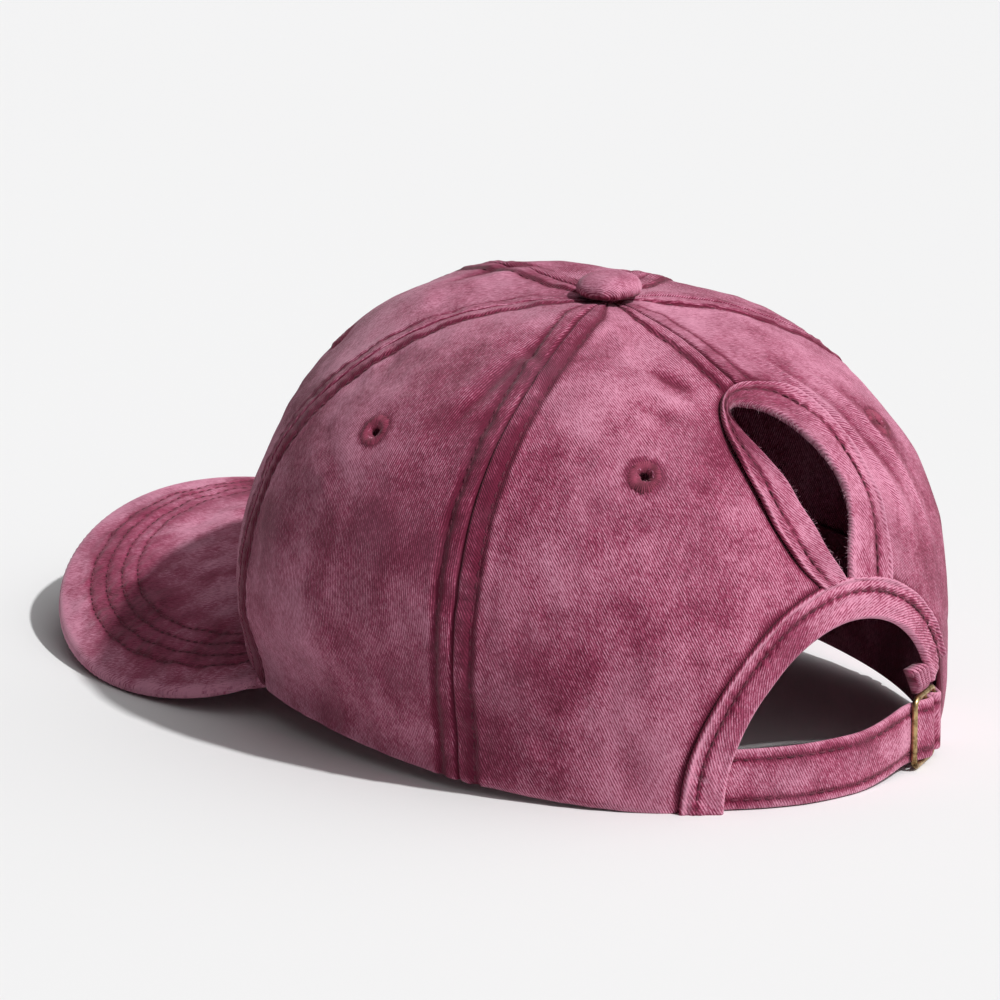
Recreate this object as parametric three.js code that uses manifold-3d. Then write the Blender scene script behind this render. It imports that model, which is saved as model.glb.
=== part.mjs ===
// Ponytail baseball cap of washed cotton twill. It rests on its hem and on the sides of its peak.
// Millimetres, +Z up. The front faces -Y and the wearer's left is +X. Angles run from the front
// over the wearer's left, and "side" is the distance to the left of the back's centre line.
import * as THREE from 'three';
import { mergeVertices } from 'three/addons/utils/BufferGeometryUtils.js';
import Module from 'manifold-3d';

const wasm = await Module();
wasm.setup();

// Crown
const HALF_WIDTH = 88;
const FRONT_REACH = 88;
const BACK_REACH = 114;
const CROWN_HEIGHT = 114;
const BUTTON_SETBACK = 16;
const PLAN_POWER = 2.08;
const PANEL_BULGE = 1.2;
const CLOTH = 1.4;
const PANEL_COUNT = 6;
const APEX_HOLE_RADIUS = 3;
const REST_ANGLE = THREE.MathUtils.degToRad(150);
const REST_POWER = 0.8;
const TUCK_CLIMB = THREE.MathUtils.degToRad(14);
const TUCK_POWER = 3;

// Clearances
const GAP = 0.3;
const SEAM_HALF_GAP = 0.18;
const CURVED_GAP = 0.45;
const BAND_GAP = 0.6;

// Seams: raised by the folded cloth below them, in bands that narrow where the panels do
const SEAM_BAND = 6;
const SEAM_BAND_MOST = 0.3;
const SEAM_RAISE = 0.5;

// Peak
const PEAK_LENGTH = 80;
const PEAK_LENGTH_POWER = 1.23;
const PEAK_CORNER = THREE.MathUtils.degToRad(64.5);
const PEAK_FLARE = 44;
const PEAK_FLARE_POWER = 0.8;
const PEAK_RADIUS = 148;
const PEAK_TILT = THREE.MathUtils.degToRad(2.1);
const PEAK_THICKNESS = 2.8;
const PEAK_CORNER_DEPTH = 5;

// Openings at the back
const ARCH_HALF_WIDTH = 36.5;
const ARCH_HEIGHT = 46.5;
const ARCH_BINDING_FOOT = 8.5;
const ARCH_BINDING_TOP = 10.5;
const ARCH_POWER = 2.1;
const ARCH_RIGHT_FOOT = 22.5;
const SLOT_LENGTH = 61.5;
const SLOT_HALF_WIDTH = 21;
const BINDING_DEPTH = 1.6;
const BINDING_LIP = 1.4;

// Button and eyelets
const BUTTON_RADIUS = 8.6;
const BUTTON_HEIGHT = 5;
const SHANK_RADIUS = 2.4;
const RIVET_RADIUS = 5;
const RIVET_THICKNESS = 1;
const EYELET_DROP = 77;
const EYELET_RADIUS = 4.7;
const EYELET_HOLE_RADIUS = 1.8;
const EYELET_BARREL_RADIUS = 2.9;
const EYELET_RAISE = 1.1;
const EYELET_SHOULDER = 0.88;
const EYELET_LIP = 0.66;

// Sweatband
const SWEATBAND_HEIGHT = 30;
const SWEATBAND_THICKNESS = 1.2;
const SWEATBAND_END = THREE.MathUtils.degToRad(147);

// Strap, slide and tab
const STRAP_WIDTH = 16;
const STRAP_THICKNESS = 1.6;
const STRAP_LEFT_END = 49;
const TAIL_LENGTH = 6;
const STRAP_FREE_DEPTH = 1.4;
const BELT_LEVEL = 10;
const FLOOR_CLEARANCE = 0.3;
const BUCKLE_SIDE = -32;
const BUCKLE_DEPTH = 1;
const BUCKLE_PITCH = 7.5;
const BUCKLE_WIRE = 1.6;
const BUCKLE_CORNER = 1.6;
const TAB_THICKNESS = 1.2;
const TAB_SEWN_LENGTH = 9;
const TAB_BEND_START = THREE.MathUtils.degToRad(63);
const GATHER_RIDGES = 4;
const GATHER_WIDTH = 8.8;
const GATHER_HEIGHT = 8;

// How the crown bends over each facing: the powers of its run and rise, and its tuck at the rim.
const BEND = {
  front: { run: 0.38, rise: 0.98, tuck: -0.04 },
  side: { run: 0.87, rise: 0.6, tuck: 0.1 },
  back: { run: 1.49, rise: 0.55, tuck: 0.01 },
};

// The slot's faced edge, from its foot to its top. "lip" is where it meets the panels and "edge"
// is the opening. Heights are shares of SLOT_LENGTH and reaches are shares of SLOT_HALF_WIDTH.
const SLOT_ROWS = [
  { lipUp: 0, lipLeft: 0.4, lipRight: 0.7, edgeUp: 0, edgeLeft: 0.02, edgeRight: 0.02 },
  { lipUp: 0.1, lipLeft: 0.63, lipRight: 0.84, edgeUp: 0.13, edgeLeft: 0.17, edgeRight: 0.16 },
  { lipUp: 0.28, lipLeft: 0.79, lipRight: 0.95, edgeUp: 0.3, edgeLeft: 0.3, edgeRight: 0.4 },
  { lipUp: 0.52, lipLeft: 0.79, lipRight: 0.98, edgeUp: 0.48, edgeLeft: 0.36, edgeRight: 0.47 },
  { lipUp: 0.77, lipLeft: 0.68, lipRight: 0.88, edgeUp: 0.69, edgeLeft: 0.48, edgeRight: 0.33 },
  { lipUp: 0.94, lipLeft: 0.38, lipRight: 0.58, edgeUp: 0.84, edgeLeft: 0.5, edgeRight: 0.07 },
  { lipUp: 1, lipLeft: 0, lipRight: 0, edgeUp: 0.9, edgeLeft: 0.28, edgeRight: -0.28 },
];

// A faced edge across its width: "proud" is a share of BINDING_LIP above the crown's surface.
const BINDING_COLUMNS = [
  { across: 0, proud: 0.5 },
  { across: 0.12, proud: 1 },
  { across: 0.35, proud: 0.4 },
  { across: 1, proud: 0.3 },
];

// A seam's raised band, from the seam outward: "across" is a share of SEAM_BAND.
const SEAM_COLUMNS = [
  { across: 0, raise: 0 },
  { across: 0.2, raise: 1 },
  { across: 0.85, raise: 1 },
  { across: 1.2, raise: 0 },
];

// The button's outer face: "reach" is a share of its radius and "up" of its height.
const BUTTON_ROWS = [
  { reach: 0.93, up: 0 },
  { reach: 1, up: 0.2 },
  { reach: 0.9, up: 0.6 },
  { reach: 0.6, up: 0.9 },
  { reach: 0, up: 1 },
];

// The gathered tab, upward: heights are shares of GATHER_HEIGHT, ridges of the cloth's thickness.
const GATHER_ROWS = [
  { up: 0, ridge: 0.2 },
  { up: 0.3, ridge: 1 },
  { up: 0.7, ridge: 1 },
  { up: 1, ridge: 0.3 },
];

// Colours of the cloth, thread and metal
const cloth = new THREE.MeshStandardMaterial({ color: 0xb0607c, roughness: 0.95, metalness: 0 });
const edgeCloth = new THREE.MeshStandardMaterial({ color: 0xbd7089, roughness: 0.95, metalness: 0 });
const thread = new THREE.MeshStandardMaterial({ color: 0x9a2f52, roughness: 0.9, metalness: 0 });
const brass = new THREE.MeshStandardMaterial({ color: 0x9c8255, roughness: 0.45, metalness: 1 });

// Crown surface

function mixFacings(angle, key) {
  const front = Math.max(Math.cos(angle), 0) ** 2;
  const back = Math.max(-Math.cos(angle), 0) ** 2;
  return front * BEND.front[key] + Math.sin(angle) ** 2 * BEND.side[key] + back * BEND.back[key];
}

function planReach(angle) {
  const reach = Math.cos(angle) > 0 ? FRONT_REACH : BACK_REACH;
  const across = Math.abs(Math.sin(angle) / HALF_WIDTH) ** PLAN_POWER;
  const along = Math.abs(Math.cos(angle) / reach) ** PLAN_POWER;
  return (across + along) ** (-1 / PLAN_POWER);
}

function rimPlan(angle) {
  const reach = planReach(angle) * (1 - mixFacings(angle, 'tuck'));
  return new THREE.Vector2(reach * Math.sin(angle), -reach * Math.cos(angle));
}

// Plan outline of the peak; turn runs from -90 degrees at the right corner to 90 at the left.
function peakEdge(turn) {
  const corner = rimPlan(PEAK_CORNER);
  const swell = Math.max(Math.cos(turn), 0);
  const tip = FRONT_REACH + PEAK_LENGTH;
  const x = corner.x * Math.sin(turn) + PEAK_FLARE * Math.sin(turn) * swell ** PEAK_FLARE_POWER;
  const root = corner.y - PEAK_CORNER_DEPTH;
  const y = root - (tip + root) * swell ** PEAK_LENGTH_POWER;
  return new THREE.Vector2(x, y);
}

function peakDrop(plan) {
  return plan.x ** 2 / (2 * PEAK_RADIUS) - Math.tan(PEAK_TILT) * (plan.y + FRONT_REACH);
}

// The peak's sides touch the floor, so its front stands as high as they drop.
const PEAK_STEPS = 26;
const peakTurns = Array.from({ length: PEAK_STEPS + 1 }, (_, i) => Math.PI * (i / PEAK_STEPS - 0.5));
const peakLift = Math.max(...peakTurns.map((turn) => peakDrop(peakEdge(turn))));

function peakUnderside(plan) {
  return peakLift - peakDrop(plan);
}

function rimHeight(angle) {
  const away = Math.abs(Math.atan2(Math.sin(angle), Math.cos(angle)));
  if (away < PEAK_CORNER) {
    return peakUnderside(rimPlan(away));
  }
  const run = Math.min((away - PEAK_CORNER) / (REST_ANGLE - PEAK_CORNER), 1);
  return peakUnderside(rimPlan(PEAK_CORNER)) * (1 - run ** REST_POWER);
}

// One meridian from the rim to the hole below the button, in steps that are dense near the top.
const MERIDIAN_STEPS = 72;
const MERIDIAN_EASE = 2.3;
const meridians = new Map();

function meridian(angle) {
  const key = angle.toFixed(7);
  if (meridians.has(key)) {
    return meridians.get(key);
  }
  const run = mixFacings(angle, 'run');
  const rise = mixFacings(angle, 'rise');
  const tuck = mixFacings(angle, 'tuck');
  const reach = planReach(angle);
  const lift = rimHeight(angle);
  const bulge = PANEL_BULGE * Math.sin((PANEL_COUNT / 2) * angle) ** 2;
  const last = Math.acos((APEX_HOLE_RADIUS / reach) ** (1 / run));
  const steps = [];
  let length = 0;
  for (let i = 0; i <= MERIDIAN_STEPS; i += 1) {
    const climb = last * (1 - (1 - i / MERIDIAN_STEPS) ** MERIDIAN_EASE);
    const tucked = 1 - tuck * Math.max(1 - climb / TUCK_CLIMB, 0) ** TUCK_POWER;
    const radius = reach * Math.cos(climb) ** run * tucked + bulge * Math.sin(2 * climb);
    const back = BUTTON_SETBACK * Math.sin(climb) ** 2;
    const point = new THREE.Vector3(
      radius * Math.sin(angle),
      back - radius * Math.cos(angle),
      lift + (CROWN_HEIGHT - lift) * Math.sin(climb) ** rise,
    );
    length += i > 0 ? point.distanceTo(steps[i - 1].point) : 0;
    steps.push({ point, radius, length });
  }
  const result = { steps, length };
  meridians.set(key, result);
  return result;
}

// A point of the crown at a share of the way up a meridian, with its distance from the hub.
function onMeridian(angle, share) {
  const { steps, length } = meridian(angle);
  const target = THREE.MathUtils.clamp(share, 0, 1) * length;
  let i = 1;
  while (i < MERIDIAN_STEPS && steps[i].length < target) {
    i += 1;
  }
  const before = steps[i - 1];
  const after = steps[i];
  const t = (target - before.length) / (after.length - before.length);
  return {
    point: before.point.clone().lerp(after.point, t),
    radius: THREE.MathUtils.lerp(before.radius, after.radius, t),
  };
}

function crownNormal(angle, share) {
  const step = 0.01;
  const around = onMeridian(angle + step, share).point.sub(onMeridian(angle - step, share).point);
  const along = onMeridian(angle, share + step).point.sub(onMeridian(angle, share - step).point);
  return around.cross(along).normalize();
}

// A point at a height above the crown's surface, or below it where the height is negative.
function crownAt(angle, share, height) {
  return onMeridian(angle, share).point.addScaledVector(crownNormal(angle, share), height);
}

const backLength = meridian(Math.PI).length;

// The angle at which the surface lies "side" to the left of the back's centre line.
function angleAtSide(side, share) {
  let angle = Math.PI;
  for (let pass = 0; pass < 10; pass += 1) {
    const { radius } = onMeridian(angle, share);
    angle = Math.PI - Math.asin(THREE.MathUtils.clamp(side / radius, -1, 1));
  }
  return angle;
}

function backAt(side, up, height) {
  const share = up / backLength;
  return crownAt(angleAtSide(side, share), share, height);
}

// Closed bodies

// A closed body between two layers of a grid; a column's way crossed with a row's way faces out.
function shell(grid) {
  const rows = grid.length;
  const columns = grid[0].length;
  const positions = [];
  for (const layer of ['outer', 'inner']) {
    for (const row of grid) {
      row.forEach((cell) => positions.push(cell[layer].x, cell[layer].y, cell[layer].z));
    }
  }
  const outer = (row, column) => row * columns + column;
  const inner = (row, column) => rows * columns + outer(row, column);
  const indices = [];
  const quad = (a, b, c, d) => indices.push(a, b, c, a, c, d);
  for (let r = 0; r < rows - 1; r += 1) {
    for (let c = 0; c < columns - 1; c += 1) {
      quad(outer(r, c), outer(r, c + 1), outer(r + 1, c + 1), outer(r + 1, c));
      quad(inner(r, c), inner(r + 1, c), inner(r + 1, c + 1), inner(r, c + 1));
    }
    quad(outer(r, 0), outer(r + 1, 0), inner(r + 1, 0), inner(r, 0));
    quad(inner(r, columns - 1), inner(r + 1, columns - 1), outer(r + 1, columns - 1), outer(r, columns - 1));
  }
  for (let c = 0; c < columns - 1; c += 1) {
    quad(inner(0, c), inner(0, c + 1), outer(0, c + 1), outer(0, c));
    quad(outer(rows - 1, c), outer(rows - 1, c + 1), inner(rows - 1, c + 1), inner(rows - 1, c));
  }
  const geometry = new THREE.BufferGeometry();
  geometry.setAttribute('position', new THREE.Float32BufferAttribute(positions, 3));
  geometry.setIndex(indices);
  geometry.computeVertexNormals();
  return geometry;
}

// An upright band along a plan path, whose points carry their own lower and upper levels.
const MITRE_LIMIT = 0.5;

function ribbon(path, thickness) {
  const up = new THREE.Vector3(0, 0, 1);
  const flat = path.map((step) => new THREE.Vector3(step.x, step.y, 0));
  const rows = [[], []];
  flat.forEach((point, i) => {
    const before = point.clone().sub(flat[Math.max(i - 1, 0)]).normalize();
    const after = flat[Math.min(i + 1, flat.length - 1)].clone().sub(point).normalize();
    const way = before.clone().add(after).normalize();
    const lean = Math.max(way.dot(i > 0 ? before : after), MITRE_LIMIT);
    const outward = way.cross(up).multiplyScalar(thickness / 2 / lean);
    [path[i].low, path[i].high].forEach((level, row) => {
      const middle = new THREE.Vector3(point.x, point.y, level);
      rows[row].push({ outer: middle.clone().add(outward), inner: middle.clone().sub(outward) });
    });
  });
  return shell(rows);
}

function manifoldOf(geometry) {
  const bare = geometry.clone();
  bare.deleteAttribute('normal');
  bare.deleteAttribute('uv');
  const merged = mergeVertices(bare);
  return new wasm.Manifold(new wasm.Mesh({
    numProp: 3,
    vertProperties: new Float32Array(merged.attributes.position.array),
    triVerts: new Uint32Array(merged.index.array),
  }));
}

function geometryOf(manifold) {
  const mesh = manifold.getMesh();
  const geometry = new THREE.BufferGeometry();
  geometry.setAttribute('position', new THREE.BufferAttribute(new Float32Array(mesh.vertProperties), 3));
  geometry.setIndex(new THREE.BufferAttribute(new Uint32Array(mesh.triVerts), 1));
  geometry.computeVertexNormals();
  return geometry;
}

// Panels

const FIELD_COLUMNS = 5;
const PANEL_ROWS = 12;
// A panel's rows are closer near the rim, where the crown tucks in.
const PANEL_ROW_EASE = 1.3;

// The columns of a seam's band, from the panel's end inward; it lies flat where it isn't raised.
function bandColumns(band, raised) {
  return SEAM_COLUMNS.map(({ across, raise }) => ({
    at: across * band,
    raise: raised ? raise * SEAM_RAISE : 0,
  }));
}

// One row of a panel: it runs over the crown at a share of the way up, between two angles.
function panelRow({ share, start, end, startSeam, endSeam }) {
  const middle = onMeridian((start + end) / 2, share);
  const width = middle.radius * Math.abs(end - start);
  const band = Math.min(SEAM_BAND / width, SEAM_BAND_MOST);
  const left = bandColumns(band, startSeam && share > 0);
  const right = bandColumns(band, endSeam && share > 0).map(({ at, raise }) => ({ at: 1 - at, raise }));
  const first = left[left.length - 1].at;
  const last = right[right.length - 1].at;
  const field = Array.from({ length: FIELD_COLUMNS }, (_, i) => (
    { at: THREE.MathUtils.lerp(first, last, (i + 1) / (FIELD_COLUMNS + 1)), raise: 0 }
  ));
  return [...left, ...field, ...right.reverse()].map(({ at, raise }) => {
    const angle = THREE.MathUtils.lerp(start, end, at);
    const outer = crownAt(angle, share, raise);
    const inner = crownAt(angle, share, -CLOTH);
    if (share === 0) {
      inner.z = outer.z;
    }
    return { outer, inner };
  });
}

// Half the seam's gap as an angle, on one side of a seam.
function besideSeam(angle, share, way) {
  return angle + (way * SEAM_HALF_GAP) / onMeridian(angle, share).radius;
}

function seamedPanel(start, end) {
  return shell(Array.from({ length: PANEL_ROWS + 1 }, (_, i) => {
    const share = (i / PANEL_ROWS) ** PANEL_ROW_EASE;
    return panelRow({
      share,
      start: besideSeam(start, share, 1),
      end: besideSeam(end, share, -1),
      startSeam: true,
      endSeam: true,
    });
  }));
}

// Where a back panel ends beside the arch, the slot and the centre seam, upward from the rim.
function backPanelEnds(way) {
  const lips = slotCurve('lip').slice(0, SLOT_SIDE_STEPS + 1);
  const others = slotCurve('lip').slice(SLOT_SIDE_STEPS).reverse();
  const lip = way > 0 ? lips : others;
  const footTurn = archTurn(Math.abs(lip[0].x) + GAP, GAP);
  const arch = Array.from({ length: ARCH_STEPS + 1 }, (_, i) => archPoint((footTurn * i) / ARCH_STEPS, GAP));
  const slot = lip.slice(1).map((point, i) => {
    const after = lip[Math.min(i + 2, lip.length - 1)];
    const along = after.clone().sub(lip[i]).normalize();
    return { side: Math.abs(point.x) + GAP * Math.abs(along.y), up: point.y + GAP * Math.abs(along.x) };
  });
  const top = slot[slot.length - 1];
  top.side = SEAM_HALF_GAP;
  const seamSteps = 4;
  const seam = Array.from({ length: seamSteps }, (_, i) => (
    { side: 0, up: THREE.MathUtils.lerp(top.up, backLength, (i + 1) / seamSteps) }
  ));
  return [
    ...arch.map((point) => ({ side: point.x, up: point.y })),
    ...slot,
    ...seam,
  ];
}

function backPanel(way) {
  const outerSeam = Math.PI - way * (Math.PI / 3);
  return shell(backPanelEnds(way).map(({ side, up }) => {
    const share = Math.min(up / backLength, 1);
    const seamed = side === 0;
    const far = besideSeam(outerSeam, share, way);
    const near = seamed ? besideSeam(Math.PI, share, -way) : angleAtSide(way * side, share);
    return panelRow({
      share,
      start: way > 0 ? far : near,
      end: way > 0 ? near : far,
      startSeam: way > 0 || seamed,
      endSeam: way < 0 || seamed,
    });
  }));
}

// Arch and slot

// A point of the arch's lip, grown by a margin; turn runs from 0 at a foot to 90 degrees at the top.
function archPoint(turn, margin) {
  return new THREE.Vector2(
    (ARCH_HALF_WIDTH + ARCH_BINDING_FOOT + margin) * Math.cos(turn),
    (ARCH_HEIGHT + ARCH_BINDING_TOP + margin) * Math.max(Math.sin(turn), 0) ** (2 / ARCH_POWER),
  );
}

function archTurn(side, margin) {
  return Math.acos(side / (ARCH_HALF_WIDTH + ARCH_BINDING_FOOT + margin));
}

const SLOT_STEPS_PER_ROW = 2;
const SLOT_SIDE_STEPS = (SLOT_ROWS.length - 1) * SLOT_STEPS_PER_ROW;
const ARCH_STEPS = 8;

// The slot's lip or edge as points from its left foot over its top to its right foot.
function slotCurve(line) {
  const rise = (side) => archPoint(archTurn(Math.abs(side), CURVED_GAP), CURVED_GAP).y;
  const corner = (row, way) => {
    const side = way * row[way > 0 ? `${line}Left` : `${line}Right`] * SLOT_HALF_WIDTH;
    const foot = ARCH_HEIGHT + ARCH_BINDING_TOP + CURVED_GAP;
    const share = row[`${line}Up`];
    return new THREE.Vector3(side, share === 0 ? rise(side) : foot + share * SLOT_LENGTH, 0);
  };
  const left = SLOT_ROWS.map((row) => corner(row, 1));
  const right = SLOT_ROWS.slice(0, -1).map((row) => corner(row, -1)).reverse();
  const curve = new THREE.CatmullRomCurve3([...left, ...right], false, 'centripetal');
  return curve.getPoints(2 * SLOT_SIDE_STEPS);
}

// The feet of the faced edges are cut level with the floor.
function bindingCell(side, up, proud) {
  const outer = backAt(side, up, proud * BINDING_LIP);
  const inner = backAt(side, up, -BINDING_DEPTH);
  if (up === 0) {
    outer.z = 0;
    inner.z = 0;
  }
  return { outer, inner };
}

function archBinding() {
  const lips = slotCurve('lip');
  const leftFoot = archTurn(lips[0].x + GAP, GAP);
  const rightFoot = archTurn(-lips[lips.length - 1].x + GAP, GAP);
  const innerFoot = Math.asin((ARCH_RIGHT_FOOT / ARCH_HEIGHT) ** (ARCH_POWER / 2));
  const crossings = 5;
  const turns = [];
  for (let i = 0; i < ARCH_STEPS; i += 1) {
    turns.push((leftFoot * i) / ARCH_STEPS);
  }
  for (let i = 0; i < crossings; i += 1) {
    turns.push(THREE.MathUtils.lerp(leftFoot, Math.PI - rightFoot, i / crossings));
  }
  for (let i = ARCH_STEPS; i >= 0; i -= 1) {
    const turn = (rightFoot * i) / ARCH_STEPS;
    if (turn > innerFoot) {
      turns.push(Math.PI - turn);
    }
  }
  turns.push(Math.PI - innerFoot);
  return shell(turns.map((turn) => {
    const lip = archPoint(turn, 0);
    const edge = new THREE.Vector2(
      ARCH_HALF_WIDTH * Math.cos(turn),
      ARCH_HEIGHT * Math.max(Math.sin(turn), 0) ** (2 / ARCH_POWER),
    );
    return BINDING_COLUMNS.map(({ across, proud }) => {
      const point = lip.clone().lerp(edge, across);
      return bindingCell(point.x, point.y, proud);
    });
  }));
}

function slotBinding() {
  const lips = slotCurve('lip');
  const edges = slotCurve('edge');
  return shell(lips.map((lip, i) => {
    const foot = i === 0 || i === lips.length - 1;
    return BINDING_COLUMNS.map(({ across, proud }) => {
      const point = lip.clone().lerp(edges[i], across);
      if (foot) {
        point.y = archPoint(archTurn(Math.abs(point.x), CURVED_GAP), CURVED_GAP).y;
      }
      return bindingCell(point.x, point.y, proud);
    });
  }));
}

// Eyelets and button

const CIRCLE_STEPS = 14;

function onEyelet(geometry, angle) {
  const share = 1 - EYELET_DROP / meridian(angle).length;
  const turn = new THREE.Quaternion().setFromUnitVectors(
    new THREE.Vector3(0, 1, 0),
    crownNormal(angle, share),
  );
  const { point } = onMeridian(angle, share);
  geometry.applyQuaternion(turn);
  geometry.translate(point.x, point.y, point.z);
  return geometry;
}

function eyelet(angle) {
  const profile = [
    [EYELET_HOLE_RADIUS, -CLOTH],
    [EYELET_BARREL_RADIUS, -CLOTH],
    [EYELET_BARREL_RADIUS, CURVED_GAP],
    [EYELET_RADIUS, CURVED_GAP],
    [EYELET_RADIUS - GAP, EYELET_RAISE * EYELET_SHOULDER],
    [EYELET_BARREL_RADIUS, EYELET_RAISE],
    [EYELET_HOLE_RADIUS, EYELET_RAISE * EYELET_LIP],
    [EYELET_HOLE_RADIUS, -CLOTH],
  ].map(([x, y]) => new THREE.Vector2(x, y));
  return onEyelet(new THREE.LatheGeometry(profile, CIRCLE_STEPS), angle);
}

function pierced(geometry, angle) {
  const length = 4 * CLOTH;
  const radius = EYELET_BARREL_RADIUS + CURVED_GAP;
  const bore = onEyelet(new THREE.CylinderGeometry(radius, radius, length, CIRCLE_STEPS), angle);
  return geometryOf(manifoldOf(geometry).subtract(manifoldOf(bore)));
}

function button() {
  const seat = SEAM_RAISE + CURVED_GAP;
  const back = -CLOTH - 2 * CURVED_GAP;
  const profile = [
    [0, back - RIVET_THICKNESS],
    [RIVET_RADIUS, back - RIVET_THICKNESS],
    [RIVET_RADIUS, back],
    [SHANK_RADIUS, back],
    [SHANK_RADIUS, seat],
    ...BUTTON_ROWS.map(({ reach, up }) => [BUTTON_RADIUS * reach, seat + BUTTON_HEIGHT * up]),
  ].map(([x, y]) => new THREE.Vector2(x, y));
  const geometry = new THREE.LatheGeometry(profile, CIRCLE_STEPS + 6);
  geometry.rotateX(Math.PI / 2);
  geometry.translate(0, BUTTON_SETBACK, CROWN_HEIGHT);
  return geometry;
}

// Peak and sweatband

// A plan point of the peak's root, clear of the crown as far up as the peak is thick.
function peakRoot(angle) {
  const level = PEAK_THICKNESS + CURVED_GAP;
  const { radius } = onMeridian(angle, level / meridian(angle).length);
  const root = rimPlan(angle);
  return root.setLength(Math.max(root.length(), radius) + CURVED_GAP);
}

function peak() {
  const reaches = [0, 0.15, 0.4, 0.7, 1];
  const above = (plan) => {
    const slope = Math.hypot(plan.x / PEAK_RADIUS, 1);
    const inner = new THREE.Vector3(plan.x, plan.y, peakUnderside(plan));
    return { outer: inner.clone().setZ(inner.z + PEAK_THICKNESS * slope), inner };
  };
  return shell(reaches.map((reach) => peakTurns.map((turn) => {
    const angle = (turn / (Math.PI / 2)) * PEAK_CORNER;
    return above(peakEdge(turn).lerp(peakRoot(angle), reach));
  })));
}

function sweatband() {
  const columns = 40;
  const levels = [2 * GAP, SWEATBAND_HEIGHT / 4, SWEATBAND_HEIGHT / 2, SWEATBAND_HEIGHT];
  return shell(levels.map((level) => Array.from({ length: columns + 1 }, (_, i) => {
    const angle = THREE.MathUtils.lerp(-SWEATBAND_END, SWEATBAND_END, i / columns);
    const share = level / meridian(angle).length;
    return {
      outer: crownAt(angle, share, -CLOTH - BAND_GAP),
      inner: crownAt(angle, share, -CLOTH - BAND_GAP - SWEATBAND_THICKNESS),
    };
  })));
}

// Strap, slide and tab

// A plan point along the belt line, at a depth inside the crown's surface.
function beltPoint(side, depth) {
  const share = BELT_LEVEL / backLength;
  const angle = angleAtSide(side, share);
  const inward = crownNormal(angle, share).setZ(0).normalize().multiplyScalar(-depth);
  const { point } = onMeridian(angle, share);
  return new THREE.Vector2(point.x + inward.x, point.y + inward.y);
}

const BUCKLE_LOW = FLOOR_CLEARANCE;
const STRAP_LOW = BUCKLE_LOW + BUCKLE_WIRE + GAP;
const BUCKLE_TOP = STRAP_LOW + STRAP_WIDTH + GAP + BUCKLE_WIRE;

const buckleCentre = beltPoint(BUCKLE_SIDE, BUCKLE_DEPTH);
const buckleRight = beltPoint(BUCKLE_SIDE - 1, BUCKLE_DEPTH).sub(buckleCentre).normalize();
const buckleOut = new THREE.Vector2(buckleRight.y, -buckleRight.x);

// A plan point in the slide's own frame: "along" to the right and "out" away from the head.
function atBuckle(along, out) {
  return buckleCentre.clone().addScaledVector(buckleRight, along).addScaledVector(buckleOut, out);
}

// Points of an arc around one of the slide's bars; angles run from the strap's right toward out.
function aroundBar(bar, radius, from, to, steps) {
  return Array.from({ length: steps + 1 }, (_, i) => {
    const angle = THREE.MathUtils.lerp(from, to, i / steps);
    return atBuckle(bar + radius * Math.cos(angle), radius * Math.sin(angle));
  });
}

const STRAP_BEND = BUCKLE_WIRE / 2 + GAP + STRAP_THICKNESS / 2;
const TAB_BEND = BUCKLE_WIRE / 2 + GAP + TAB_THICKNESS / 2;
const TAIL_BEND = BUCKLE_WIRE / 2 + GAP + TAB_THICKNESS + GAP + STRAP_THICKNESS / 2;
// The tab dives inside just before the right back panel begins.
const TAB_START = -(ARCH_HALF_WIDTH + ARCH_BINDING_FOOT) + TAB_THICKNESS;
const TAB_END = TAB_START - TAB_SEWN_LENGTH;
const TAB_DEPTH = CLOTH + BAND_GAP + TAB_THICKNESS / 2;
const TAB_INNER_DEPTH = TAB_DEPTH + TAB_THICKNESS + GAP;
const TAIL_DEPTH = TAB_INNER_DEPTH + TAB_THICKNESS / 2 + CURVED_GAP + STRAP_THICKNESS / 2;
const SEWN_DEPTH = BINDING_DEPTH + BAND_GAP + STRAP_THICKNESS / 2;

// Shares of the way to the slide at which the strap has left the cap's wall and turns to the slide
const STRAP_FREE_FROM = 0.3;
const STRAP_TURNS_FROM = 0.6;

// The strap runs under the left bar, over the middle one and back inside past the right one.
function strapPlan() {
  const straight = Math.PI / 2;
  const first = Math.asin((2 * STRAP_BEND) / BUCKLE_PITCH);
  const second = Math.asin((STRAP_BEND + TAIL_BEND) / BUCKLE_PITCH);
  const sewn = ARCH_HALF_WIDTH - 2 * BINDING_DEPTH;
  const free = [];
  const leftBar = BUCKLE_SIDE + BUCKLE_PITCH;
  const steps = 12;
  for (let i = 1; i < steps; i += 1) {
    const t = i / steps;
    const toFree = Math.min(t / STRAP_FREE_FROM, 1);
    const toBar = Math.max((t - STRAP_TURNS_FROM) / (1 - STRAP_TURNS_FROM), 0);
    const depth = THREE.MathUtils.lerp(SEWN_DEPTH, STRAP_FREE_DEPTH, toFree);
    free.push(beltPoint(
      THREE.MathUtils.lerp(sewn, leftBar, t),
      THREE.MathUtils.lerp(depth, BUCKLE_DEPTH + STRAP_BEND, toBar),
    ));
  }
  return [
    beltPoint(STRAP_LEFT_END, SEWN_DEPTH),
    beltPoint((STRAP_LEFT_END + sewn) / 2, SEWN_DEPTH),
    beltPoint(sewn, SEWN_DEPTH),
    ...free,
    ...aroundBar(-BUCKLE_PITCH, STRAP_BEND, -straight, -straight + first, 2),
    ...aroundBar(0, STRAP_BEND, straight + first, straight - second, 6),
    ...aroundBar(BUCKLE_PITCH, TAIL_BEND, Math.PI + straight - second, Math.PI + straight, 3),
    beltPoint(TAB_START, TAIL_DEPTH),
    beltPoint(TAB_START - TAIL_LENGTH, TAIL_DEPTH),
  ];
}

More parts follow.
